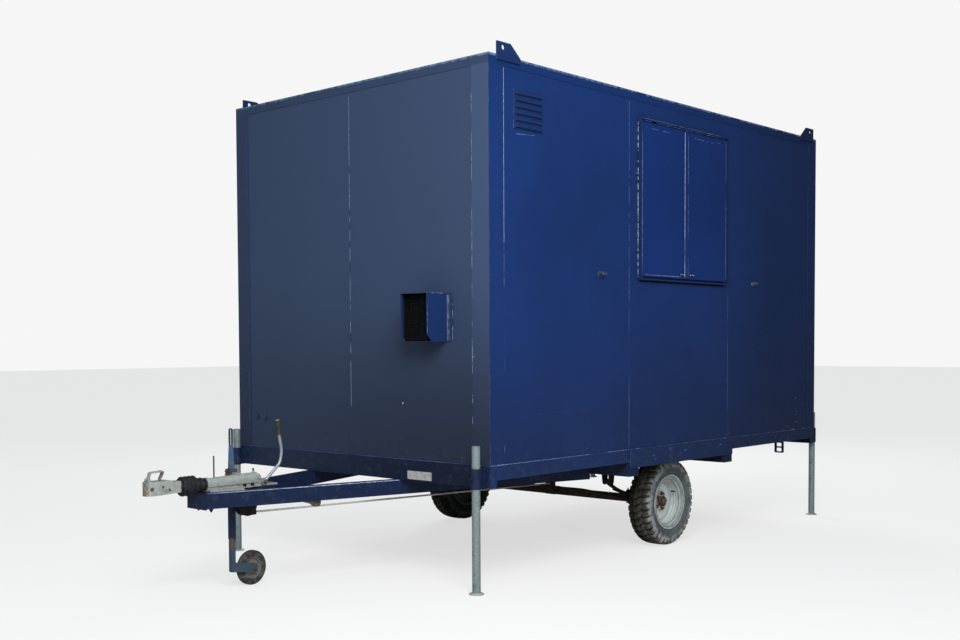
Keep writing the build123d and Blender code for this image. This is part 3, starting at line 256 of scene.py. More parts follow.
def rusty_steel(name, dark, rust, amount=0.6, dull=0.8):
    """Dark steel with rust in patches."""
    s = Shader.new(name, dull)
    patch = s.noise(30, 6, 0.7)
    body = s.wash(dark, s.step(patch, 0.42, 0.66), amount, rust)
    body = s.wash(body, s.step(s.noise(140, 3), 0.55, 0.7), 0.35, (30, 26, 24))
    s.bump(patch, 0.0025, 0.6)
    return s.finish(body, s.math("ADD", s.times(patch, 0.2), dull - 0.12))


def tyre_rubber(name, inward):
    """Painted shade in the grooves, plain block tops, dusty shoulders, a greyer sidewall, and a near-black
    inner half from painted shade and road dirt.

    The tyre's middle is the piece's origin, and its radii are in metres.
    """
    s = Shader.new(name, 0.85)
    reach = s.radius((0, 0))
    speckle = s.noise(70, 5, 0.7)
    clump = s.noise(14, 5, 0.65)
    sunk = s.node("Attribute", {}, attribute_name="groove").outputs["Fac"]
    body = s.mix(s.step(clump, 0.35, 0.7), (50, 49, 45), (76, 74, 67))
    wall = s.times(s.step(reach, 0.291, 0.275), s.step(clump, 0.15, 0.5))
    body = s.mix(wall, body, (68, 74, 79))
    body = s.wash(body, s.times(wall, s.step(s.noise(9, 6, 0.7), 0.42, 0.62)), 0.6, (92, 96, 96))
    scuff = s.times(s.step(reach, 0.228, 0.255), s.step(s.noise(26, 6, 0.75), 0.44, 0.54))
    body = s.wash(body, s.times(scuff, wall), 0.8, (136, 140, 138))
    shoulder = s.band(reach, (0.245, 0.283), (0.301, 0.290))
    body = s.wash(body, s.times(shoulder, s.step(clump, 0.40, 0.60)), 0.8, (140, 141, 136))
    body = s.wash(body, s.step(speckle, 0.64, 0.72), 0.25, (118, 115, 106))
    # Painted shade: the grooves darken with their depth.
    body = s.wash(body, sunk, 0.9, (24, 23, 21))
    # The half toward the axle goes near black: painted shade under the cabin, with some road dirt.
    body = s.wash(body, s.step(s.times(s.axes()["Y"], inward), -0.01, 0.05), 0.8, (20, 19, 18))
    s.bump(speckle, 0.0012, 0.4)
    return s.finish(body)


def rim_paint(name, centre, rim_radius, face, inward):
    """Silver-white wheel paint, rusting at the studs and the edge; paler in the barrel as painted light;
    dark seams and steps from painted shade with some rust and dirt; near black behind the disc from painted
    shade and road dirt.
    """
    s = Shader.new(name)
    reach = s.radius(centre)
    bloom = s.noise(20, 5, 0.65)
    body = s.mix(s.step(bloom, 0.4, 0.7), (154, 163, 163), (128, 135, 135))
    depth = s.times(s.math("SUBTRACT", s.axes()["Y"], face), inward)
    # Painted light: the barrel paler with depth, against the shade inside the dish.
    body = s.wash(body, s.step(depth, 0.020, 0.060), 0.7, (196, 206, 204))
    middle = s.step(reach, rim_radius * 0.50, rim_radius * 0.32)
    body = s.wash(body, s.times(middle, s.step(s.noise(44, 6, 0.75), 0.44, 0.56)), 0.85, (104, 74, 54))
    turned = s.times(s.facing("Y"), inward)
    turned_out = s.step(turned, -0.3, -0.7)
    # Painted shade with some rust: dark seams between the rim's steps.
    for share in (0.70, 0.81, 0.92):
        top = rim_radius * share
        seam = s.band(reach, (rim_radius * (share - 0.03), top), (rim_radius * (share + 0.03), top))
        body = s.wash(body, s.times(seam, turned_out), 0.75, (64, 58, 48))
    # Painted shade with some dirt: dark lines at the steps down the barrel.
    for ring in (0.014, 0.030, 0.050, 0.070):
        line = s.band(depth, (ring - 0.005, ring), (ring + 0.003, ring))
        body = s.wash(body, s.times(line, s.step(turned, -0.8, -0.4)), 0.7, (84, 80, 68))
    edge = s.times(s.step(reach, rim_radius * 0.97, rim_radius), s.step(bloom, 0.40, 0.6))
    body = s.wash(body, edge, 0.5, (112, 100, 82))
    # Behind the disc the rim goes near black: painted shade with road dirt.
    back = s.times(s.step(depth, 0.080, 0.086), s.step(turned, 0.2, 0.6))
    body = s.wash(body, s.math("MAXIMUM", s.step(depth, 0.110, 0.116), back), 0.92, (26, 25, 23))
    s.bump(s.noise(90, 4), 0.0008, 0.4)
    return s.finish(body)


def dusty_rim(name, centre, radius):
    """A small rim in bare grey steel, its dish full of pale dust."""
    s = Shader.new(name, 0.7)
    body = s.mix(s.step(s.noise(60, 5, 0.7), 0.35, 0.65), (112, 108, 99), (86, 85, 80))
    return s.finish(s.mix(s.step(s.radius(centre), radius * 0.80, radius * 0.90), body, (92, 94, 90)))


def cowl_paint(name):
    """The frame's navy outside, and black inside the cowl's mouth."""
    s = Shader(navy_paint(name, FRAME_NAVY, FRAME_FADED_AND_LIT, 0.45))
    axes = s.axes()
    middle, half = (cowl_low + cowl_high) / 2, (cowl_high - cowl_low) / 2
    within = []
    for axis, centre, reach in (("Y", middle.y, half.y - cowl_skirt), ("Z", middle.z, half.z)):
        offset = s.math("ABSOLUTE", s.math("SUBTRACT", axes[axis], centre))
        within.append(s.step(offset, reach - 0.003, reach - 0.0035))
    inside = s.step(axes["X"], cowl_low.x + 0.008, cowl_low.x + 0.030)
    return s.retint(s.times(*within, inside), (12, 12, 13))


def jockey_paint(name):
    """Blue post: navy above, a rust band where the inner tube starts, greyer below, paler on the bar."""
    s = Shader.new(name, 0.55)
    height = s.axes()["Z"]
    patch = s.noise(34, 6, 0.7)
    joint = leg_low.z + 0.21
    body = s.mix(s.step(height, joint - 0.01, joint + 0.01), (50, 64, 82), (26, 38, 66))
    body = s.mix(s.step(height, 0.655, 0.672), body, (50, 86, 118))
    scraped = s.times(s.step(height, 0.670, 0.690), s.step(s.noise(20, 4, 0.6), 0.50, 0.60))
    body = s.wash(body, scraped, 0.75, (88, 88, 80))
    rust = s.band(height, (joint - 0.075, joint - 0.04), (joint + 0.02, joint))
    body = s.wash(body, rust, s.step(patch, 0.36, 0.55), (84, 74, 60))
    body = s.wash(body, s.step(patch, 0.58, 0.66), 0.7, (98, 82, 66))
    body = s.mix(s.step(height, 0.842, 0.85), body, (52, 58, 70))
    s.bump(patch, 0.001, 0.5)
    return s.finish(body)


def rubber(name, tint, pale, dull=0.7):
    """A matt surface in two tones."""
    s = Shader.new(name, dull)
    s.bump(s.noise(160, 3), 0.0006, 0.5)
    return s.finish(s.mix(s.step(s.noise(40, 5, 0.6), 0.42, 0.72), tint, pale))


def worn_paint(name, pale, under, share=0.5):
    """Worn paint that fades in and out of the sound paint under it."""
    s = Shader.new(name)
    long_patch = s.step(s.noise(3.2, 3, 0.6), 0.62 - share * 0.4, 0.78 - share * 0.4)
    fine_patch = s.step(s.noise(48, 4, 0.65), 0.40, 0.62)
    return s.finish(s.mix(s.times(long_patch, s.math("ADD", s.times(fine_patch, 0.6), 0.4)), under, pale))


def rusted_end(name, x_sound, x_rusted):
    """Cast zinc that turns brown between two places along the hitch."""
    s = Shader(galvanised(name, *CAST, 0.6, 0.2))
    near = s.times(s.step(s.axes()["X"], x_sound, x_rusted), s.step(s.noise(60, 5, 0.7), 0.36, 0.52))
    return s.retint(s.times(near, 0.85), (106, 86, 66))


def worn_foot(material):
    """Paler metal on what stands on the ground."""
    s = Shader(material)
    return s.retint(s.times(s.step(s.axes()["Z"], 0.014, 0.008), 0.6), (184, 186, 176))


def dark_rod(material, centre):
    """A darker upright rod on a casting."""
    s = Shader(material)
    return s.retint(s.times(s.step(s.radius(centre, ("X", "Y")), 0.0075, 0.0055), 0.9), (54, 64, 66))


def floor_board(name):
    """Brown board with its grain along the cabin."""
    s = Shader.new(name, 0.6)
    grain = s.noise(3, 6, 0.7, (2, 30, 30))
    s.bump(grain, 0.001, 0.3)
    return s.finish(s.mix(grain, (104, 88, 66), (140, 118, 90)))


def window_pane(name):
    """Clear glass with a faint smear."""
    s = Shader.new(name, 0.04)
    s.surface.inputs["Transmission Weight"].default_value = 0.85
    s.surface.inputs["IOR"].default_value = 1.5
    return s.finish((196, 208, 210), s.times(s.noise(4, 5, 0.6), 0.12))


# The faded tones below are the hitch end's paler colours: part sun fading, part painted light for faces
# turned to the lamp.
NAVY = (15, 44, 98)
FADED_AND_LIT = (48, 62, 88)
FRAME_NAVY = (17, 41, 86)
FRAME_FADED_AND_LIT = (38, 50, 76)
CAST = ((148, 156, 152), (88, 90, 82))    # cast zinc and its grime
handle_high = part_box("coupling_handle")[1]
rod_setback = 1.058                       # the housing's upright rod, in front of the body

# Each finish by the function that makes it, its name and the function's own values.
looks = {name: make(name, *values) for make, rows in (
    (navy_paint, (
        ("body_paint", NAVY, FADED_AND_LIT, 0.42, 0.35, 0.012), ("frame_paint", FRAME_NAVY, FRAME_FADED_AND_LIT, 0.45),
        ("chassis_paint", (13, 30, 62), (24, 37, 67), 0.40, 0.15),
        ("plain_paint", FRAME_NAVY, (20, 36, 70), 0.45),
        ("post_paint", NAVY, (54, 68, 96), 0.42, 0.35, 0.0, (42, 55, 80)),
        ("rail_paint", (19, 42, 86), (14, 22, 48), 0.45, 0.12, 0.0, (30, 43, 66)),
        ("roof_rail_paint", (13, 42, 94), (44, 57, 82), 0.45),
        ("roof_paint", (36, 50, 80), (56, 68, 94), 0.6, 0.2),
        ("leaf_paint", (9, 42, 102), (20, 36, 70), 0.42))),
    (cowl_paint, (("cowl_paint",),)),
    (galvanised, (
        ("weathered_zinc", (122, 137, 139), (78, 84, 82)), ("cast_zinc", *CAST, 0.55, 0.2),
        # The brake rod's zinc on the next line is pale: painted light against the cabin's shade on it.
        ("rod_zinc", (200, 203, 202), (168, 170, 166), 0.15, 0.3),
        ("lever_zinc", (156, 166, 170), (100, 106, 106), 0.15, 0.6), ("housing_zinc", *CAST, 0.55, 0.2))),
    (rusted_end, (
        ("handle_zinc", handle_high.x - 0.040, handle_high.x - 0.020),
        ("head_zinc", head_low.x + 0.022, head_low.x + 0.004))),
    (rusty_steel, (
        ("dark_steel", (26, 24, 22), (58, 46, 36)), ("axle_steel", (52, 46, 36), (84, 71, 50), 0.5),
        ("cleat_steel", (80, 78, 68), (96, 86, 68), 0.6), ("hub_steel", (62, 54, 48), (112, 84, 64), 0.75),
        ("rust_steel", (72, 62, 50), (112, 84, 58), 0.8), ("clamp_steel", (60, 64, 64), (84, 72, 60), 0.5),
        ("black_bolt", (26, 26, 30), (60, 50, 44), 0.4, 0.6),
        ("catch_steel", (40, 48, 66), (120, 124, 132), 0.7, 0.5))),
    (rubber, (
        ("ribbed_rubber", (20, 22, 24), (38, 40, 42)), ("jockey_rubber", (42, 43, 41), (84, 81, 72)),
        ("grip_rubber", (38, 38, 32), (62, 59, 47)), ("cable_rubber", (26, 26, 26), (44, 42, 38)),
        ("black_grille", (14, 15, 17), (24, 25, 28), 0.5),
        ("worn_white", (150, 152, 150), (118, 124, 126), 0.45),
        # The last finish on the next line is near black, for the painted shadow at the window frame.
        ("roof_edge", (64, 104, 138), (86, 72, 70), 0.7), ("dark_gap", (8, 9, 12), (14, 15, 20), 0.7))),
    (worn_paint, (
        ("worn_edge", (138, 152, 186), (46, 66, 114), 0.7),
        ("bright_edge", (166, 180, 206), (64, 84, 130), 0.75),
        ("seam_edge", (104, 120, 160), (34, 56, 106), 0.65),
        ("faint_edge", (74, 92, 134), (28, 50, 98), 0.5),
        ("front_edge", (122, 136, 154), (72, 88, 112), 1.0),
        ("scuff_blue", (52, 88, 142), (26, 52, 100), 0.8))),
    (floor_board, (("floor_board_finish",),)),
    (window_pane, (("window_pane",),)),
    (jockey_paint, (("jockey_finish",),)),
) for name, *values in rows}
worn_foot(looks["weathered_zinc"])
dark_rod(looks["housing_zinc"], (x_front - rod_setback, 0))

slot_finish = {
    "navy_body": "body_paint", "navy_chassis": "chassis_paint", "roof_paint": "roof_paint",
    "galvanised": "weathered_zinc",
    "dark_steel": "dark_steel", "bellows_rubber": "ribbed_rubber", "jockey_rubber": "jockey_rubber",
    "pale_blue": "jockey_finish", "floor_board": "floor_board_finish", "clear_glass": "window_pane",
    "black_grille": "black_grille",
    "worn_white": "worn_white", "tyre": "cable_rubber", "rim_silver": "worn_white",
}
node_finish = {
    "roof_frame": "roof_rail_paint", "window_frame": "plain_paint", "vent_cowl": "cowl_paint",
    "louvre_vent": "frame_paint", "shutter_bolts": "plain_paint", "shutters": "leaf_paint",
    "corner_posts": "post_paint", "shutter_catches": "catch_steel",
    "door_frame": "frame_paint", "lifting_lugs": "frame_paint", "base_end_rails": "rail_paint",
    "base_side_rails": "rail_paint", "side_plates": "rail_paint",
    "axle": "axle_steel", "hub_left": "hub_steel", "hub_right": "hub_steel", "jockey_clamp": "clamp_steel",
    "overrun_housing": "housing_zinc", "coupling_head": "head_zinc", "coupling_handle": "handle_zinc",
    "handbrake_lever": "lever_zinc", "brake_cables": "cable_rubber", "brake_rod": "rod_zinc",
}


def wheel_face(name, side):
    """A wheel piece's middle seen along its axle, its outer face's Y, and the sign of Y inward."""
    low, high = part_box(f"{name}_{side}")
    face, inward = (low.y, 1) if side == "left" else (high.y, -1)
    return (low.x + high.x) / 2, (low.z + high.z) / 2, face, inward


def paint_cad_nodes():
    """Gives each node of the frame its finish, by its material slot or by its name."""
    slots = {piece["node"]: piece["material_slot"] for piece in frame["record"]["subparts"]}
    for name, node in nodes.items():
        node.data.materials.clear()
        node.data.materials.append(looks[node_finish.get(name, slot_finish[slots[name]])])
    for side in ("left", "right"):
        low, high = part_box(f"rim_{side}")
        x, z, face, inward = wheel_face("rim", side)
        paint = rim_paint(f"rim_{side}_paint", (x, z), (high.z - low.z) / 2, face, inward)
        nodes[f"rim_{side}"].data.materials[0] = paint
    low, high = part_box("jockey_rim")
    middle = (low + high) / 2
    paint = dusty_rim("jockey_rim_paint", (middle.x, middle.z), (high.z - low.z) / 2)
    nodes["jockey_rim"].data.materials[0] = paint


# ---------------------------------------------------------------- mesh building
def linked(name, data):
    """A new object in the scene."""
    thing = bpy.data.objects.new(name, data)
    bpy.context.scene.collection.objects.link(thing)
    return thing


def riding(name, mesh, finish, body):
    """Puts a mesh in the row frame, on a body, with its finish."""
    mesh.materials.append(looks[finish])
    thing = linked(name, mesh)
    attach(thing, body)
    return thing


def piece(name, vertices, faces, finish, body, slot):
    """A flat-shaded mesh from points and faces."""
    mesh = bpy.data.meshes.new(name)
    mesh.from_pydata([tuple(v) for v in vertices], [], [tuple(f) for f in faces])
    mesh.validate()
    riding(name, mesh, finish, body)


def from_bmesh(name, mesh_edit, finish, body, angle=None):
    """A mesh from an edit, smooth up to an angle in degrees where one is given."""
    mesh = bpy.data.meshes.new(name)
    mesh_edit.to_mesh(mesh)
    mesh_edit.free()
    if angle:
        mesh.shade_smooth()
        mesh.set_sharp_from_angle(angle=math.radians(angle))
    return riding(name, mesh, finish, body)


def facing_matrix(place, direction):
    """Puts +Z of a small part along a direction, at a place."""
    turn = Vector((0, 0, 1)).rotation_difference(Vector(direction)).to_matrix().to_4x4()
    return Matrix.Translation(Vector(place)) @ turn


def on_circle(index, count, radius):
    """One of the points spaced evenly round a circle."""
    turn = 2 * math.pi * index / count
    return radius * math.cos(turn), radius * math.sin(turn)


def add_turned(mesh_edit, profile, place, direction, sides=20):
    """Adds a solid of revolution. The profile is (height, radius) pairs along the direction."""
    matrix = facing_matrix(place, direction)
    rings = []
    for height, radius in profile:
        points = [Vector((*on_circle(i, sides, radius), height)) for i in range(sides)]
        rings.append([mesh_edit.verts.new(matrix @ point) for point in points])
    for ring, other in zip(rings, rings[1:]):
        for i in range(sides):
            mesh_edit.faces.new((ring[i], ring[(i + 1) % sides], other[(i + 1) % sides], other[i]))
    mesh_edit.faces.new(list(reversed(rings[0])))
    mesh_edit.faces.new(rings[-1])


def add_bolt(mesh_edit, place, direction, across=0.008, height=0.006):
    """Adds a washer, a hexagon head with a crowned top, and the thread's end."""
    washer = [(0, across * 1.25), (0.0012, across * 1.25), (0.0016, across * 1.15)]
    head = [(0.0016, across), (height * 0.85, across), (height, across * 0.86)]
    thread = [(height, across * 0.5), (height * 1.4, across * 0.5), (height * 1.5, across * 0.4)]
    for profile, sides in ((washer, 20), (head, 6), (thread, 12)):
        add_turned(mesh_edit, profile, place, direction, sides)


def add_screw(mesh_edit, place, direction, radius=0.004):
    """Adds a low domed head."""
    add_turned(mesh_edit, [(0, radius), (radius * 0.25, radius * 0.95), (radius * 0.5, radius * 0.6),
                           (radius * 0.58, radius * 0.2)], place, direction, 12)


def sliver(vertices, faces, place, along, across, run, width, step, chance):
    """One ragged flake of worn paint."""
    corners = max(3, int(run / step))
    low_edge, high_edge = [], []
    for i in range(corners + 1):
        reach = i / corners * run
        end = min(reach, run - reach) / min(0.012, run / 2)
        taper = 0.25 + 0.75 * min(end, 1.0) ** 0.5
        middle = place + along * reach
        low_edge.append(middle - across * width * taper * chance.uniform(0.30, 0.55))
        high_edge.append(middle + across * width * taper * chance.uniform(0.30, 0.55))
    base = len(vertices)
    vertices += low_edge + high_edge
    for i in range(corners):
        faces.append((base + i, base + i + 1, base + corners + 2 + i, base + corners + 1 + i))


def worn_line(name, start, end, outward, width, cover, finish, seed, thickness=0.0004):
    """Worn paint along an edge: flakes of uneven length, or one line when the cover is nearly full."""
    chance = np.random.default_rng(seed)
    start, end, outward = Vector(start), Vector(end), Vector(outward)
    along = (end - start).normalized()
    across = along.cross(outward)
    length = (end - start).length
    start = start + outward * thickness
    vertices, faces = [], []
    at = 0.0
    if cover > 0.9:
        sliver(vertices, faces, start, along, across, length, width, 0.012, chance)
        at = length
    while at < length:
        run = min(chance.uniform(0.004, 0.07) * (1.6 if chance.random() < 0.2 else 1.0), length - at)
        if chance.random() < cover:
            sliver(vertices, faces, start + along * at, along, across, run, width, 0.006, chance)
        at += run + chance.uniform(0.0, 0.03) * (1.2 - cover)
    if not faces:
        sliver(vertices, faces, start, along, across, length, width, 0.006, chance)
    piece(name, vertices, faces, finish, "cabin", "navy_body")


def worn_lines(rows):
    """Worn lines from a table. A row is a name, the line's two ends, and the rest of worn_line's values."""
    for name, ends, *look in rows:
        worn_line(name, *ends, *look)


def upright(x, y, low, high):
    """The ends of a vertical line."""
    return (x, y, low), (x, y, high)


def level(low, high, y, z):
    """The ends of a level line along the cabin."""
    return (low, y, z), (high, y, z)


def worn_spots(name, places, outward, size, finish, seed):
    """Flat ragged flakes of worn paint at single places."""
    chance = np.random.default_rng(seed)
    outward = Vector(outward)
    across = outward.cross(Vector((0, 0, 1))).normalized()
    vertices, faces = [], []
    for place in places:
        count = 11
        stretch = chance.uniform(0.7, 1.6)
        base = len(vertices)
        for i in range(count):
            turn = 2 * math.pi * i / count
            reach = size * chance.uniform(0.45, 1.0)
            vertices.append(Vector(place) + outward * 0.0004 + across * reach * stretch * math.cos(turn)
                            + Vector((0, 0, reach * math.sin(turn))))
        faces.append(tuple(range(base, base + count)))
    piece(name, vertices, faces, finish, "cabin", "navy_body")


def bead(name, runs, radius, finish, body, seed=1, sides=8):
    """Weld beads: slightly lumpy rods along straight runs."""
    chance = np.random.default_rng(seed)
    edit = bmesh.new()
    for start, end in runs:
        start, end = Vector(start), Vector(end)
        direction = (end - start).normalized()
        length = (end - start).length
        count = max(4, int(length / (radius * 2.2)))
        profile = [(length * i / count, radius * chance.uniform(0.75, 1.05)) for i in range(count + 1)]
        profile[0] = (0, radius * 0.4)
        profile[-1] = (length, radius * 0.4)
        add_turned(edit, profile, start, direction, sides)
    from_bmesh(name, edit, finish, body, angle=35)


# ---------------------------------------------------------------- tyres
tread_pitches = 38              # tread blocks round a tyre
steps_per_pitch = 18
tread_depth = 0.011
moulding_height = 0.0012        # rings moulded on the sidewalls


def zigzag(value):
    """A triangle wave of height 1 and period 1."""
    return 4 * np.abs(value - np.floor(value) - 0.5) - 1


def groove(distance, half_width, soft=0.0018):
    """1 on a rib, falling to 0 inside a groove."""
    return np.clip((distance - half_width) / soft, 0, 1)


def tread_height(turn, across):
    """Share of the tread's full height, for a chunky mud and snow pattern."""
    a = turn / (2 * math.pi) * tread_pitches
    middle = groove(np.abs(across - 0.011 * zigzag(a)), 0.0042)
    inner = groove(np.abs(np.abs(across) - 0.037 - 0.0075 * zigzag(a + 0.25 * np.sign(across))), 0.0046)
    pitch_length = 2 * math.pi * 0.30 / tread_pitches
    slope = a + across * 9
    bars = np.abs(slope - np.floor(slope) - 0.5) * pitch_length
    centre_bars = np.where(np.abs(across) < 0.040, groove(bars, 0.0042), 1.0)
    lug = a + 0.5 * (across > 0) - np.abs(across) * 5
    lugs = np.abs(lug - np.floor(lug) - 0.5) * pitch_length
    shoulder_bars = np.where(np.abs(across) >= 0.036, groove(lugs, 0.0082), 1.0)
    return middle * inner * centre_bars * shoulder_bars


def tyre_section(radius, half):
    """The section's stations from one side to the other: distance from the middle plane, and radius."""
    bead_radius, rim_radius = radius * 0.573, radius * 0.632
    # Half section from the bead to the middle of the tread: (share of half width, radius).
    shape = [(0.74, bead_radius), (0.76, rim_radius), (0.86, rim_radius + 0.012), (0.965, radius * 0.74),
             (0.995, radius * 0.80), (0.985, radius * 0.86), (0.955, radius * 0.905), (0.90, radius * 0.948),
             (0.82, radius * 0.981), (0.62, radius * 0.994), (0.30, radius * 0.999), (0.0, radius)]
    steps = [np.hypot((a[0] - b[0]) * half, a[1] - b[1]) for a, b in zip(shape, shape[1:])]
    station = np.concatenate([[0], np.cumsum(steps)])
    fine = np.linspace(0, station[-1], 46)
    side_width = np.interp(fine, station, [p[0] for p in shape]) * half
    side_radius = np.interp(fine, station, [p[1] for p in shape])
    kernel = np.array([1, 2, 3, 2, 1]) / 9
    for values in (side_width, side_radius):
        values[2:-2] = np.convolve(values, kernel, "valid")
    return (np.concatenate([-side_width, side_width[::-1][1:]]),
            np.concatenate([side_radius, side_radius[::-1][1:]]))


def treaded_tyre(side):
    """A tyre with cut tread blocks, shoulder lugs and moulded sidewall rings."""
    low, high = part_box(f"tyre_{side}")
    radius = (high.z - low.z) / 2
    across, reach = tyre_section(radius, (high.y - low.y) / 2)
    count = tread_pitches * steps_per_pitch
    rows = len(across)
    turns = np.arange(count) * 2 * math.pi / count
    turn_grid, across_grid = np.meshgrid(turns, across, indexing="ij")
    reach_grid = np.repeat(reach[None, :], count, axis=0)
    depth = tread_depth * np.clip((reach_grid / radius - 0.865) / 0.05, 0, 1)
    sunk = depth * (1 - tread_height(turn_grid, across_grid))
    wall = np.exp(-((reach_grid - radius * 0.72) / 0.0022) ** 2)
    ring = moulding_height * (wall + np.exp(-((reach_grid - radius * 0.84) / 0.002) ** 2))
    outwards = np.clip((reach_grid / radius - 0.90) / 0.08, 0, 1)
    reach_grid = reach_grid - sunk * outwards
    across_grid = across_grid - np.sign(across_grid) * (sunk * (1 - outwards) + 0.0014 - ring)
    points = np.stack([reach_grid * np.sin(turn_grid), across_grid, reach_grid * np.cos(turn_grid)], axis=-1)
    here = np.arange(count) * rows
    there = (np.arange(count) + 1) % count * rows
    first = here[:, None] + np.arange(rows - 1)[None, :]
    after = there[:, None] + np.arange(rows - 1)[None, :]
    faces = np.stack([first, first + 1, after + 1, after], axis=-1).reshape(-1, 4)
    closing = np.stack([here + rows - 1, here, there, there + rows - 1], axis=-1)
    mesh = bpy.data.meshes.new(f"treaded_tyre_{side}")
    mesh.from_pydata(points.reshape(-1, 3).tolist(), [], np.concatenate([faces, closing]).tolist())
    shade = mesh.attributes.new("groove", "FLOAT", "POINT")
    shade.data.foreach_set("value", (sunk / tread_depth).reshape(-1).astype(np.float32))
    mesh.materials.append(tyre_rubber(f"tyre_rubber_{side}", 1 if side == "left" else -1))
    mesh.shade_smooth()
    mesh.set_sharp_from_angle(angle=math.radians(40))
    tyre = linked(f"treaded_tyre_{side}", mesh)
    tyre.location = (low + high) / 2
    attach(tyre, f"road_wheel_{side}")
    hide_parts(f"tyre_{side}")


def wheel_fittings(side):
    """Stud ends on the nuts, a ring round the grease cap and a valve in the rim."""
    x, z, y_face, inward = wheel_face("hub", side)
    body, outward = f"road_wheel_{side}", Vector((0, -inward, 0))
    centre = Vector((x, y_face, z))
    edit = bmesh.new()
    for i in range(5):
        dx, dz = on_circle(i, 5, 0.056)
        stud = centre + Vector((dx, 0, dz)) - outward * 0.020
        add_turned(edit, [(-0.002, 0.0052), (0.006, 0.0052), (0.0075, 0.004)], stud, outward, 12)
        add_turned(edit, [(-0.014, 0.0150), (-0.0125, 0.0150), (-0.0115, 0.0125)], stud, outward, 24)
    add_turned(edit, [(-0.016, 0.0352), (-0.013, 0.0362), (-0.008, 0.0362), (-0.006, 0.0348)],
               centre, outward, 40)
    from_bmesh(f"wheel_studs_{side}", edit, "rust_steel", body, angle=35)
    edit = bmesh.new()
    add_turned(edit, [(-0.004, 0.0335), (0.0002, 0.0325), (0.0012, 0.029), (0.0016, 0.012), (0.0016, 0.004)],
               centre - outward * 0.0018, outward, 32)
    from_bmesh(f"grease_cap_{side}", edit, "black_bolt", body, angle=35)
    x, z, face, inward = wheel_face("rim", side)
    edit = bmesh.new()
    add_turned(edit, [(0, 0.007), (0.010, 0.0055), (0.022, 0.0045), (0.030, 0.0045), (0.032, 0.003)],
               Vector((x + 0.110, face + inward * 0.060, z + 0.060)), outward, 14)
    from_bmesh(f"tyre_valve_{side}", edit, "cable_rubber", body, angle=35)


# ---------------------------------------------------------------- bellows
def ribbed_bellows():
    """The overrun's gaiter: four full ribs and two small ones."""
    low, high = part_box("bellows")
    start, end = low.x + 0.010, high.x - 0.016
    crests = [0.056] * 4 + [0.040] * 2
    valleys = [0.046] * 4 + [0.036] * 3
    pitch = (end - start) / len(crests)
    profile = [(low.x, 0.0), (low.x, 0.033), (low.x + 0.002, 0.0338),
               (start - 0.001, 0.0338), (start, 0.044)]
    steps = 12
    for i, crest in enumerate(crests):
        for k in range(1, steps + 1):
            share = k / steps
            swell = (0.5 - 0.5 * math.cos(2 * math.pi * share)) ** 0.8
            valley = valleys[i] + (valleys[i + 1] - valleys[i]) * share
            profile.append((start + pitch * (i + share), valley + (crest - 0.0003 - valley) * swell))
    profile += [(end + 0.001, 0.0338), (high.x - 0.008, 0.0338), (high.x - 0.007, 0.0325),
                (high.x - 0.004, 0.0325), (high.x - 0.003, 0.0338), (high.x, 0.033), (high.x, 0.0)]
    edit = bmesh.new()
    bore = 0.0212                       # the profile's ends close on the shaft
    add_turned(edit, [(x - low.x, r if r else bore) for x, r in profile], (low.x, 0, z_shaft), (1, 0, 0), 96)
    gaiter = from_bmesh("ribbed_bellows", edit, "ribbed_rubber", "cabin", angle=60)
    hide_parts("bellows")
    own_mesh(gaiter)


# ---------------------------------------------------------------- drawbar fittings
def drawbar_fastenings():
    """Bolts through the overrun's saddle and base plate, and cone nuts under the nose."""
    edit = bmesh.new()
    flange = housing_low.z + 0.016
    for x in (x_front - 0.870, x_front - 0.815):
        for side in (-1, 1):
            add_bolt(edit, (x, side * 0.0335, flange), (0, side, 0), 0.009, 0.011)
    for side in (-1, 1):
        add_turned(edit, [(0, 0.0125), (0.006, 0.0125), (0.020, 0.005), (0.023, 0.003)],
                   (nose_low.x + 0.057, side * 0.060, beam_low.z), (0, 0, -1), 18)
    from_bmesh("drawbar_bolts", edit, "black_bolt", "cabin", angle=30)
    edit = bmesh.new()
    for side in (-1, 1):
        for x, y in ((nose_low.x + 0.13, 0.060), (nose_low.x + 0.22, 0.068)):
            add_bolt(edit, (x, side * y, housing_low.z + 0.009), (0, 0, 1), 0.008, 0.007)
    from_bmesh("base_plate_bolts", edit, "cast_zinc", "cabin", angle=30)


def beam_wedge():
    """A rusty cleat hanging from the near beam, with its bolt."""
    x, z = x_front - 0.610, beam_low.z
    y_out, y_in = -0.250, -0.218
    side = [(x, z), (x + 0.130, z), (x + 0.130, z - 0.020), (x + 0.118, z - 0.036), (x + 0.098, z - 0.038),
            (x + 0.070, z - 0.020)]
    vertices = [(px, y_out, pz) for px, pz in side] + [(px, y_in, pz) for px, pz in side]
    count = len(side)
    faces = [tuple(range(count)), tuple(range(2 * count - 1, count - 1, -1))]
    faces += [(i, i + count, (i + 1) % count + count, (i + 1) % count) for i in range(count)]
    piece("beam_cleat", vertices, faces, "cleat_steel", "cabin", "dark_steel")
    edit = bmesh.new()
    add_bolt(edit, (x + 0.108, y_out, z - 0.022), (0, -1, 0), 0.009, 0.010)
    from_bmesh("beam_cleat_bolt", edit, "cleat_steel", "cabin", angle=30)


def coupling_bolts():
    """Pins through the coupling head."""
    edit = bmesh.new()
    for x, y, z in ((0.098, 0.0335, 0.014), (0.142, 0.0315, -0.006)):
        for side in (-1, 1):
            add_bolt(edit, (head_low.x + x, side * y, z_shaft + z), (0, side, 0), 0.0075, 0.007)
    add_turned(edit, [(0, 0.011), (0.004, 0.0105), (0.0055, 0.008)],
               (head_low.x + 0.030, -0.0345, z_shaft + 0.006), (0, -1, 0), 20)
    from_bmesh("coupling_bolts", edit, "rust_steel", "coupling", angle=30)


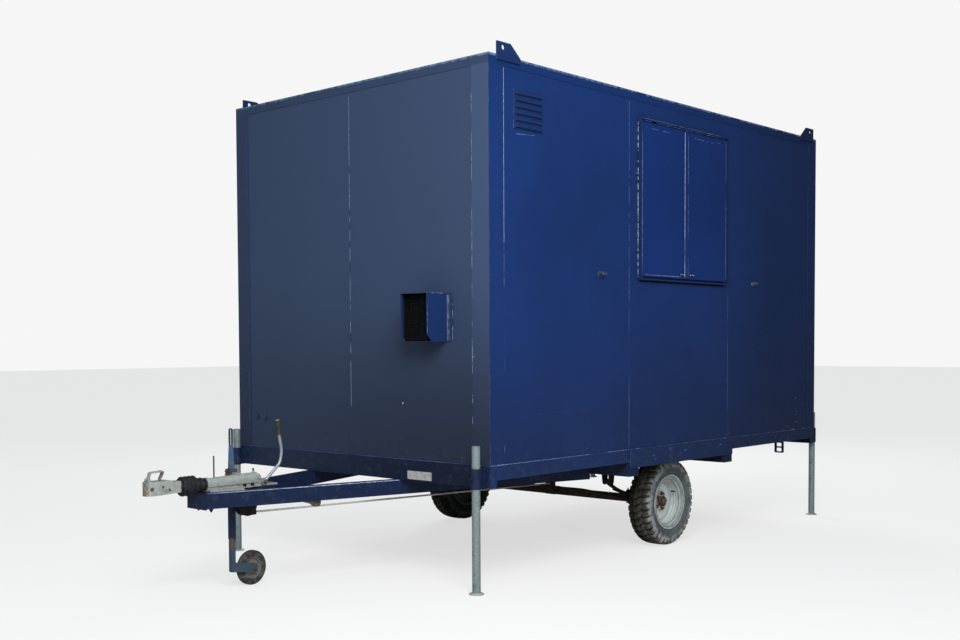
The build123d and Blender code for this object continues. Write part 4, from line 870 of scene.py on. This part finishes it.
def lever_fastenings():
    """The nut on the handbrake's pin and the housing's grease nipple."""
    edit = bmesh.new()
    add_bolt(edit, (x_front - 0.745, -0.0655, rail_low.z + 0.024), (0, -1, 0), 0.010, 0.009)
    add_turned(edit, [(0, 0.0045), (0.006, 0.0045), (0.009, 0.0065), (0.013, 0.0065), (0.016, 0.003)],
               (x_front - 0.780, 0, housing_low.z + 0.088), (0, 0, 1), 14)
    from_bmesh("lever_fastenings", edit, "rust_steel", "cabin")


def handle_grip():
    """Ribs moulded round the handbrake's grip."""
    low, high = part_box("handbrake_lever")
    lean = Vector((-0.135, 0, 0.991)).normalized()
    top = Vector((x_front - 0.641, (low.y + high.y) / 2, high.z - 0.002))
    edit = bmesh.new()
    profile = [(0, 0.0098)]
    ribs = 9
    for i in range(ribs * 4 + 1):
        share = i / (ribs * 4)
        profile.append((0.0005 + 0.086 * share, 0.0131 + 0.0009 * math.sin(2 * math.pi * ribs * share) ** 2))
    profile += [(0.0885, 0.0125), (0.0895, 0.009)]
    add_turned(edit, profile, top - lean * 0.0895, lean, 32)
    from_bmesh("handbrake_grip", edit, "grip_rubber", "handbrake", angle=50)


def jockey_fittings():
    """The axle nut, the clamp's bolts and its handle bar."""
    low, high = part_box("jockey_rim")
    centre = (low + high) / 2
    edit = bmesh.new()
    add_bolt(edit, (centre.x, leg_low.y, centre.z), (0, -1, 0), 0.012, 0.011)
    from_bmesh("jockey_axle_nut", edit, "rust_steel", "jockey")
    clamp_low, clamp_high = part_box("jockey_clamp")
    middle = (clamp_low + clamp_high) / 2
    edit = bmesh.new()
    for z in (0.668, 0.688):
        add_bolt(edit, (clamp_low.x, middle.y + 0.004, z), (-1, 0, 0), 0.008, 0.009)
    add_bolt(edit, (clamp_high.x, middle.y + 0.004, 0.678), (1, 0, 0), 0.009, 0.012)
    add_turned(edit, [(0, 0.0055), (0.034, 0.0055), (0.036, 0.004)],
               (middle.x, clamp_low.y, 0.560), (0, -1, 0), 14)
    from_bmesh("jockey_clamp_bolts", edit, "rust_steel", "cabin")


# ---------------------------------------------------------------- body details
def sill_wear():
    """Paint worn along the base rails' top edges, duller behind the window's bay, and a painted highlight
    down the hitch corner.
    """
    x_dull = bay_high.x
    worn_lines((
        ("sill_wear", level(x_front, x_dull, y_left, z_sill), left, 0.0040, 0.96, "seam_edge", 11),
        ("rear_side_sill", level(x_dull, x_rear, y_left, z_sill), left, 0.0030, 0.96, "faint_edge", 10),
        ("sill_chips", level(x_front, x_rear, y_left, z_sill + 0.001), left, 0.003, 0.12,
         "worn_edge", 12, 0.0006),
        ("front_sill_wear", ((x_front, y_left, z_sill), (x_front, y_right, z_sill)), front, 0.0030, 0.95,
         "faint_edge", 13),
        # A pale line down the hitch corner: a painted highlight on its edge.
        ("corner_wear", upright(x_front + 0.002, y_left, z_sill, z_eaves), left, 0.003, 0.85,
         "faint_edge", 14)))


def seam_wear():
    """Worn edges where the wall sheets meet."""
    y_side, x_wall = y_left + wall_face, x_front + wall_face
    middle = z_sill + 1.25
    side_seams = (
        (panels_low.x, y_left, middle, z_eaves, 0.97, "bright_edge"),
        (panels_low.x, y_left, z_sill, middle, 0.55, "seam_edge"),
        (bay_low.x, y_side, z_sill, z_eaves, 0.95, "seam_edge"),
        (bay_low.x, y_side, z_sill + 0.9, z_eaves, 0.25, "worn_edge"),
        (bay_high.x, y_side, z_sill, z_eaves - 0.5, 0.95, "seam_edge"),
        (panels_high.x, y_left, z_sill, z_eaves, 0.5, "faint_edge"))
    for i, (x, y, z0, z1, cover, finish) in enumerate(side_seams):
        worn_line(f"side_seam_{i}", *upright(x, y, z0 + 0.01, z1 - 0.01), left, 0.0034,
                  cover, finish, 20 + i)
    front_seams = (
        (x_front, y_left + 0.128, z_sill, 0.62, "front_edge"),
        (x_wall, 0.005, z_sill + 0.28, 0.98, "front_edge"),
        (x_wall, 0.005, z_sill, 0.35, "faint_edge"), (x_front, y_right - 0.110, z_sill, 0.4, "faint_edge"))
    for i, (x, y, z0, cover, finish) in enumerate(front_seams):
        worn_line(f"front_seam_{i}", *upright(x, y, z0 + 0.01, z_eaves - 0.02), front, 0.0042,
                  cover, finish, 30 + i)


def window_wear():
    """Pale edges on the shutters, their meeting strip and the window frame, and scratches near the tops."""
    y_leaf = leaf_low.y + 0.0040
    z0, z1 = leaf_low.z + 0.020, leaf_high.z - 0.020
    z_top, z_foot = leaf_high.z - 0.005, leaf_low.z + 0.026
    worn_lines((
        ("leaf_edge_0", upright(leaf_low.x + 0.004, y_leaf, z0, z1), left, 0.0035, 0.95, "worn_edge", 40),
        ("leaf_edge_1", upright(leaf_high.x - 0.003, y_leaf, z0, z1), left, 0.0032, 0.95, "worn_edge", 41),
        ("meeting_edge_0", upright(x_meeting - 0.0205, leaf_low.y, z0, z1), left, 0.0075, 0.96,
         "bright_edge", 45),
        ("meeting_edge_1", upright(x_meeting + 0.0210, leaf_low.y, z0, z1), left, 0.003,
         0.85, "worn_edge", 46),
        ("leaf_top", level(leaf_low.x + 0.02, leaf_high.x - 0.02, y_leaf, z_top), left, 0.004,
         0.9, "seam_edge", 50),
        ("leaf_foot", level(leaf_low.x + 0.012, x_meeting - 0.05, y_leaf, z_foot), left, 0.003, 0.95,
         "worn_edge", 51),
        ("frame_side", upright(window_low.x, y_left - 0.002, window_low.z + 0.02, window_high.z - 0.02),
         front, 0.006, 0.75, "bright_edge", 53),
        ("frame_top", level(window_low.x, window_high.x, window_low.y, window_high.z - 0.003), left, 0.0035,
         0.8, "seam_edge", 49)))
    scratches = ((0.05, -0.045, 0.20, -0.050), (0.24, -0.050, 0.34, -0.047), (0.36, -0.044, 0.46, -0.046),
                 (0.58, -0.045, 0.78, -0.050), (0.80, -0.052, 0.90, -0.050), (0.95, -0.044, 1.02, -0.040))
    for i, (xa, za, xb, zb) in enumerate(scratches):
        worn_line(f"leaf_scratch_{i}", (leaf_low.x + xa, y_leaf, leaf_high.z + za),
                  (leaf_low.x + xb, y_leaf, leaf_high.z + zb), left, 0.004, 0.75, "seam_edge", 54 + i)
    bolt_low, bolt_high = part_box("shutter_bolts")
    insets = (0.010, 0.030, 0.052)
    across = [bolt_low.x + inset for inset in insets] + [bolt_high.x - inset for inset in insets]
    worn_spots("bolt_screws", [(x, bolt_low.y - 0.0003, bolt_low.z + 0.011) for x in across], left, 0.0065,
               "bright_edge", 59)


def window_shadows():
    """Painted shadow: dark strips under the window frame and down its hitch side."""
    y_wall = y_left + wall_face
    worn_lines((
        ("frame_shadow", level(window_low.x + 0.01, window_high.x - 0.01, y_wall, window_low.z - 0.006),
         left, 0.014, 1.0, "dark_gap", 47),
        ("frame_gap", upright(window_low.x - 0.004, y_wall, window_low.z, window_high.z), left, 0.005, 1.0,
         "dark_gap", 48)))


def cowl_wear():
    """Bright edges on the near flange and along the mouth."""
    x_flange = x_front + wall_face - 0.004
    y_cheek = cowl_low.y + cowl_skirt
    for i, (y, cover) in enumerate(((cowl_low.y + 0.003, 0.5), (y_cheek - 0.005, 0.95),
                                    (y_cheek - 0.017, 0.9))):
        worn_line(f"cowl_flange_edge_{i}", *upright(x_flange, y, cowl_low.z + 0.004, cowl_high.z - 0.004),
                  front, 0.004, cover, "worn_edge", 80 + i)
    worn_lines((
        ("cowl_lip", upright(cowl_low.x + 0.002, y_cheek, cowl_low.z + 0.045, cowl_high.z), left, 0.004, 0.8,
         "seam_edge", 84),
        ("cowl_top_edge", level(cowl_low.x + 0.004, x_front - 0.01, y_cheek, cowl_high.z - 0.002), left,
         0.004, 0.8, "seam_edge", 85)))


def louvre_wear():
    """A bright edge down the louvre's hitch side, and a scratch under it."""
    y_wall = y_left + wall_face
    worn_line("louvre_edge", *upright(louvre_low.x - 0.002, y_wall, louvre_low.z, louvre_high.z), left,
              0.004, 0.85, "worn_edge", 70)
    worn_line("louvre_scratch", (louvre_low.x + 0.02, y_wall, louvre_low.z - 0.03),
              (louvre_low.x + 0.19, y_wall, louvre_low.z - 0.02), left, 0.003, 0.5, "worn_edge", 71)


def roof_wear():
    """Pale and rusty patches along the roof rail's top edge."""
    roof_low, roof_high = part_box("roof_frame")
    x, y, z = roof_low.x, roof_low.y, roof_high.z - 0.007
    for side, end, way in (("side", (roof_high.x, y), left), ("front", (x, roof_high.y), front)):
        worn_line(f"roof_{side}_edge", (x, y, z), (*end, z), way, 0.013, 0.85, "roof_edge", 72)
        worn_line(f"roof_{side}_chips", (x, y, z - 0.002), (*end, z - 0.002), way, 0.004,
                  0.25, "worn_edge", 74)


def far_side_wear():
    """The same worn seams and sills on the door side and the rear end."""
    right, rear = Vector((0, 1, 0)), Vector((1, 0, 0))
    y_side, y_door = y_right - wall_face, door_high.y - 0.016
    for i, x in enumerate((panels_low.x, bay_low.x, bay_high.x, panels_high.x)):
        worn_line(f"door_side_seam_{i}", *upright(x, y_side, z_sill + 0.01, z_eaves - 0.01), right, 0.0034,
                  0.95, "seam_edge", 90 + i, 0.0034)
    worn_lines((
        ("door_side_sill", level(x_front, x_rear, y_right, z_sill), right, 0.004, 0.95, "seam_edge", 95),
        ("rear_sill", ((x_rear, y_left, z_sill), (x_rear, y_right, z_sill)), rear, 0.004,
         0.95, "seam_edge", 96),
        ("rear_seam", upright(x_rear - wall_face, 0.0, z_sill + 0.01, z_eaves - 0.02), rear, 0.0042, 0.95,
         "seam_edge", 97)))
    for i, x in enumerate((door_low.x + 0.006, door_high.x - 0.006)):
        worn_line(f"door_edge_{i}", *upright(x, y_door, door_low.z + 0.02, door_high.z - 0.02), right, 0.004,
                  0.6, "worn_edge", 98 + i)
    worn_line("door_kick", *level(door_low.x + 0.06, door_high.x - 0.06, y_door, door_low.z + 0.05), right,
              0.010, 0.5, "scuff_blue", 100)


def wall_chips():
    """Single chips and scuffs on the walls, the side plate and the drawbar."""
    y_side, x_wall, y_plate = y_left + wall_face, x_front + wall_face, y_left - 0.005
    side_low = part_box("side_plates")[0]
    scuffs = ((0.26, -0.060, 0.045), (0.29, -0.085, 0.022), (0.66, -0.052, 0.03), (1.13, -0.045, 0.04),
              (0.47, -0.030, 0.03))
    for i, (x, z, reach) in enumerate(scuffs):
        worn_line(f"side_scuff_{i}", (side_low.x + x, y_plate, z_sill + z),
                  (side_low.x + x + reach, y_plate, z_sill + z + 0.004), left, 0.012, 0.6,
                  "scuff_blue", 60 + i)
    worn_line("side_plate_edge", *upright(side_low.x + 0.003, y_plate, side_low.z + 0.01, z_sill), left,
              0.004, 0.85, "seam_edge", 66)
    beam_side = Vector((-0.2816, -0.9595, 0)).normalized()
    worn_line("beam_edge_wear", (nose_high.x, -0.082, beam_high.z - 0.003),
              (x_front, -0.425, beam_high.z - 0.003), beam_side, 0.0045, 0.95, "bright_edge", 67)
    rear = x_front + 3.72
    worn_spots("rear_chips", [(rear, y_side, z_sill + 0.06), (rear + 0.01, y_side, z_sill + 0.14),
                              (rear - 0.01, y_side, z_sill + 0.25)], left, 0.005, "worn_edge", 68)
    worn_spots("front_chips", [(x_front, y_left + 0.118, 1.341), (x_wall, y_left + 0.691, 1.062)], front,
               0.007, "worn_edge", 69)
    worn_line("wall_scratch", *level(x_front + 0.27, x_front + 0.96, y_side, 1.0), left, 0.002,
              0.5, "faint_edge", 65)


def vent_fastenings():
    """Painted screws round the louvre and the cowl's flanges, and bolts on the jack sleeves' plates."""
    edit = bmesh.new()
    y_face = panels_low.y - 0.003
    for x in (louvre_low.x + 0.008, louvre_high.x - 0.008):
        for z in (louvre_low.z + 0.010, louvre_high.z - 0.010):
            add_screw(edit, (x, y_face, z), (0, -1, 0))
    x_face = x_front + wall_face - 0.004
    for y in (cowl_low.y + 0.020, cowl_high.y - 0.020):
        for z in (cowl_low.z + 0.03, (cowl_low.z + cowl_high.z) / 2, cowl_high.z - 0.03):
            add_screw(edit, (x_face, y, z), (-1, 0, 0), 0.005)
    for side, x in ((-1, x_front), (1, x_rear)):
        for y in (y_left + 0.012, y_left + 0.080, y_right - 0.012, y_right - 0.080):
            for z in (0.62, 0.70):
                add_bolt(edit, (x + side * 0.008, y, z), (side, 0, 0), 0.006, 0.005)
    from_bmesh("body_screws", edit, "frame_paint", "cabin", angle=30)


def cowl_lining():
    """A mesh of fine bars across the cowl's mouth, set back in its shade."""
    vertices, faces = [], []
    x = x_front - 0.125
    y0, y1 = cowl_low.y + 0.055, cowl_high.y - 0.055
    z0, z1 = cowl_low.z + 0.006, cowl_high.z - 0.006
    bar = 0.0012

    def slat(ya, yb, za, zb):
        base = len(vertices)
        for dx in (0, 0.003):
            vertices.extend([(x + dx, ya, za), (x + dx, yb, za), (x + dx, yb, zb), (x + dx, ya, zb)])
        for face in ((0, 3, 2, 1), (4, 5, 6, 7), (0, 1, 5, 4), (1, 2, 6, 5), (2, 3, 7, 6), (3, 0, 4, 7)):
            faces.append([base + i for i in face])

    for y in np.arange(y0, y1, 0.012):
        slat(y - bar, y + bar, z0, z1)
    for z in np.arange(z0 + 0.01, z1, 0.012):
        slat(y0, y1, z - bar, z + bar)
    piece("cowl_mesh", vertices, faces, "black_grille", "cabin", "black_grille")


def door_furniture():
    """Lever handle, cylinder lock and hinge pins on the entrance door."""
    edit = bmesh.new()
    y = y_right - wall_face
    x = door_high.x - 0.125
    z = door_low.z + 0.995
    add_turned(edit, [(0.016, 0.024), (0.020, 0.024), (0.022, 0.022)], (x, y, z + 0.03), (0, 1, 0), 32)
    add_turned(edit, [(0.016, 0.010), (0.050, 0.009), (0.052, 0.008)],
               (x, y - 0.028, z + 0.03), (0, 1, 0), 20)
    add_turned(edit, [(0, 0.006), (0.02, 0.0075), (0.10, 0.0065), (0.105, 0.004)],
               (x + 0.004, y + 0.021, z + 0.03), (-1, 0, 0.04), 16)
    add_turned(edit, [(0.016, 0.013), (0.019, 0.013), (0.020, 0.011)], (x, y, z - 0.045), (0, 1, 0), 24)
    for height in (0.2, 0.98, 1.76):
        for end in (-1, 1):
            place = (door_low.x - 0.0003, y_right + 0.020, door_low.z + height + end * 0.055)
            add_turned(edit, [(-0.001, 0.0065), (0.004, 0.0065), (0.006, 0.004)], place, (0, 0, end), 16)
    from_bmesh("door_handle", edit, "weathered_zinc", "cabin", angle=40)


def welds():
    """Fillet welds at the lugs, the drawbar's nose and the jack brackets."""
    bead_radius, lug_length = 0.0026, 0.207
    lug_low, lug_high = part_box("lifting_lugs")
    z_weld = lug_low.z + 0.0005
    runs = [level(x, x + lug_length, y, z_weld) for x in (lug_low.x, lug_high.x - lug_length)
            for y in (y_left - 0.002, y_right + 0.002)]
    bead("lug_welds", runs, bead_radius, "frame_paint", "cabin", 3)
    runs = [upright(nose_high.x, side * 0.0825, beam_low.z + 0.004, beam_high.z - 0.003) for side in (-1, 1)]
    runs += [upright(x, y, 0.602, 0.708) for x in (x_front - 0.0095, x_rear + 0.0095)
             for y in (y_left + 0.031, y_left + 0.065, y_right - 0.031, y_right - 0.065)]
    bead("chassis_welds", runs, bead_radius, "chassis_paint", "cabin", 4)


# ---------------------------------------------------------------- light and camera
BACKDROP = colour((246, 246, 246))


def glow(tree, kind, rgb, strength=1.0):
    """A background or an emission of one colour."""
    node = tree.nodes.new(f"ShaderNode{kind}")
    node.inputs["Color"].default_value = rgb
    node.inputs["Strength"].default_value = strength
    return node.outputs[0]


def chosen(tree, ray, share, other, seen):
    """A mix that shows one shader to a kind of ray, by a share, and the other to the rest."""
    mix = tree.nodes.new("ShaderNodeMixShader")
    path = tree.nodes.new("ShaderNodeLightPath")
    weight = tree.nodes.new("ShaderNodeMath")
    weight.operation = "MULTIPLY"
    weight.inputs[1].default_value = share
    tree.links.new(path.outputs[ray], weight.inputs[0])
    tree.links.new(weight.outputs[0], mix.inputs[0])
    tree.links.new(other, mix.inputs[1])
    tree.links.new(seen, mix.inputs[2])
    return mix.outputs[0]


def studio_world():
    """A pale backdrop for the camera, soft light for the surfaces and dim mirror images in them."""
    world = bpy.data.worlds.new("studio")
    bpy.context.scene.world = world
    world.use_nodes = True
    tree = world.node_tree
    soft = glow(tree, "Background", (0.90, 0.95, 1.0, 1), 0.42)
    dim = glow(tree, "Background", (0.85, 0.92, 1.0, 1), 0.10)
    light = chosen(tree, "Is Glossy Ray", 1.0, soft, dim)
    shown = chosen(tree, "Is Camera Ray", 1.0, light, glow(tree, "Background", BACKDROP))
    tree.links.new(shown, tree.nodes["World Output"].inputs["Surface"])


def studio_floor():
    """A plain pale floor that keeps the shadow."""
    reach = 60
    mesh = bpy.data.meshes.new("floor")
    corners = [(-reach, -reach, 0), (reach, -reach, 0), (reach, reach, 0), (-reach, reach, 0)]
    mesh.from_pydata(corners, [], [(0, 1, 2, 3)])
    material = bpy.data.materials.new("pale_floor")
    material.use_nodes = True
    tree = material.node_tree
    paint = tree.nodes["Principled BSDF"]
    paint.inputs["Base Color"].default_value = (0.80, 0.80, 0.80, 1)
    paint.inputs["Roughness"].default_value = 0.9
    shown = chosen(tree, "Is Glossy Ray", 0.75, paint.outputs[0],
                   glow(tree, "Emission", (0.02, 0.02, 0.02, 1)))
    shown = chosen(tree, "Is Camera Ray", 0.72, shown, glow(tree, "Emission", BACKDROP))
    tree.links.new(shown, tree.nodes["Material Output"].inputs["Surface"])
    mesh.materials.append(material)
    linked("floor", mesh)


def soft_box(name, place, target, size, power):
    """A round area light that points at a target."""
    lamp = bpy.data.lights.new(name, "AREA")
    lamp.shape, lamp.size, lamp.energy = "DISK", size, power
    aim = Vector(target) - Vector(place)
    turn = aim.to_track_quat("-Z", "Y").to_matrix().to_4x4()
    linked(name, lamp).matrix_world = Matrix.Translation(place) @ turn


def studio_lights():
    """A broad soft box off the hitch corner, a weaker one behind, and an even sky light."""
    corner = Vector((x_front, y_left, 1.9))
    soft_box("corner_box", corner + Vector((-3.2, -3.4, 2.6)), corner, 3.2, 420)
    behind = Vector((x_rear, y_right, 1.9))
    soft_box("rear_box", behind + Vector((3.4, 3.6, 2.4)), behind, 3.2, 260)
    lamp = bpy.data.lights.new("sky_light", "SUN")
    lamp.energy, lamp.angle = 0.8, math.radians(80)
    linked("sky_light", lamp).rotation_euler = [math.radians(a) for a in (42, 0, -40)]


def camera():
    """Looks at the window side's front corner from hitch height, along the drawbar's near side."""
    azimuth, elevation, roll = 0.818, -0.042, -0.006
    ahead = Vector((math.sin(azimuth) * math.cos(elevation), math.cos(azimuth) * math.cos(elevation),
                    math.sin(elevation)))
    flat = Vector((math.cos(azimuth), -math.sin(azimuth), 0))
    upward = flat.cross(ahead)
    right = flat * math.cos(roll) + upward * math.sin(roll)
    up = upward * math.cos(roll) - flat * math.sin(roll)
    lens = bpy.data.cameras.new("main_camera")
    lens.sensor_width, lens.lens, lens.clip_end = 36, 44.387, 300
    lens.shift_x, lens.shift_y = 0.04167, 0.0771
    place = Vector((x_front - 5.044, y_left - 4.343, 1.414))
    eye = linked("main_camera", lens)
    eye.matrix_world = Matrix.Translation(place) @ Matrix((right, up, -ahead)).transposed().to_4x4()
    bpy.context.scene.camera = eye
    bpy.context.scene.view_settings.view_transform = "Standard"


paint_cad_nodes()
for wheel_side in ("left", "right"):
    treaded_tyre(wheel_side)
    wheel_fittings(wheel_side)
ribbed_bellows()
drawbar_fastenings()
beam_wedge()
coupling_bolts()
lever_fastenings()
handle_grip()
jockey_fittings()
sill_wear()
seam_wear()
window_wear()
window_shadows()
cowl_wear()
louvre_wear()
roof_wear()
far_side_wear()
wall_chips()
vent_fastenings()
cowl_lining()
door_furniture()
welds()
studio_world()
studio_floor()
studio_lights()
camera()
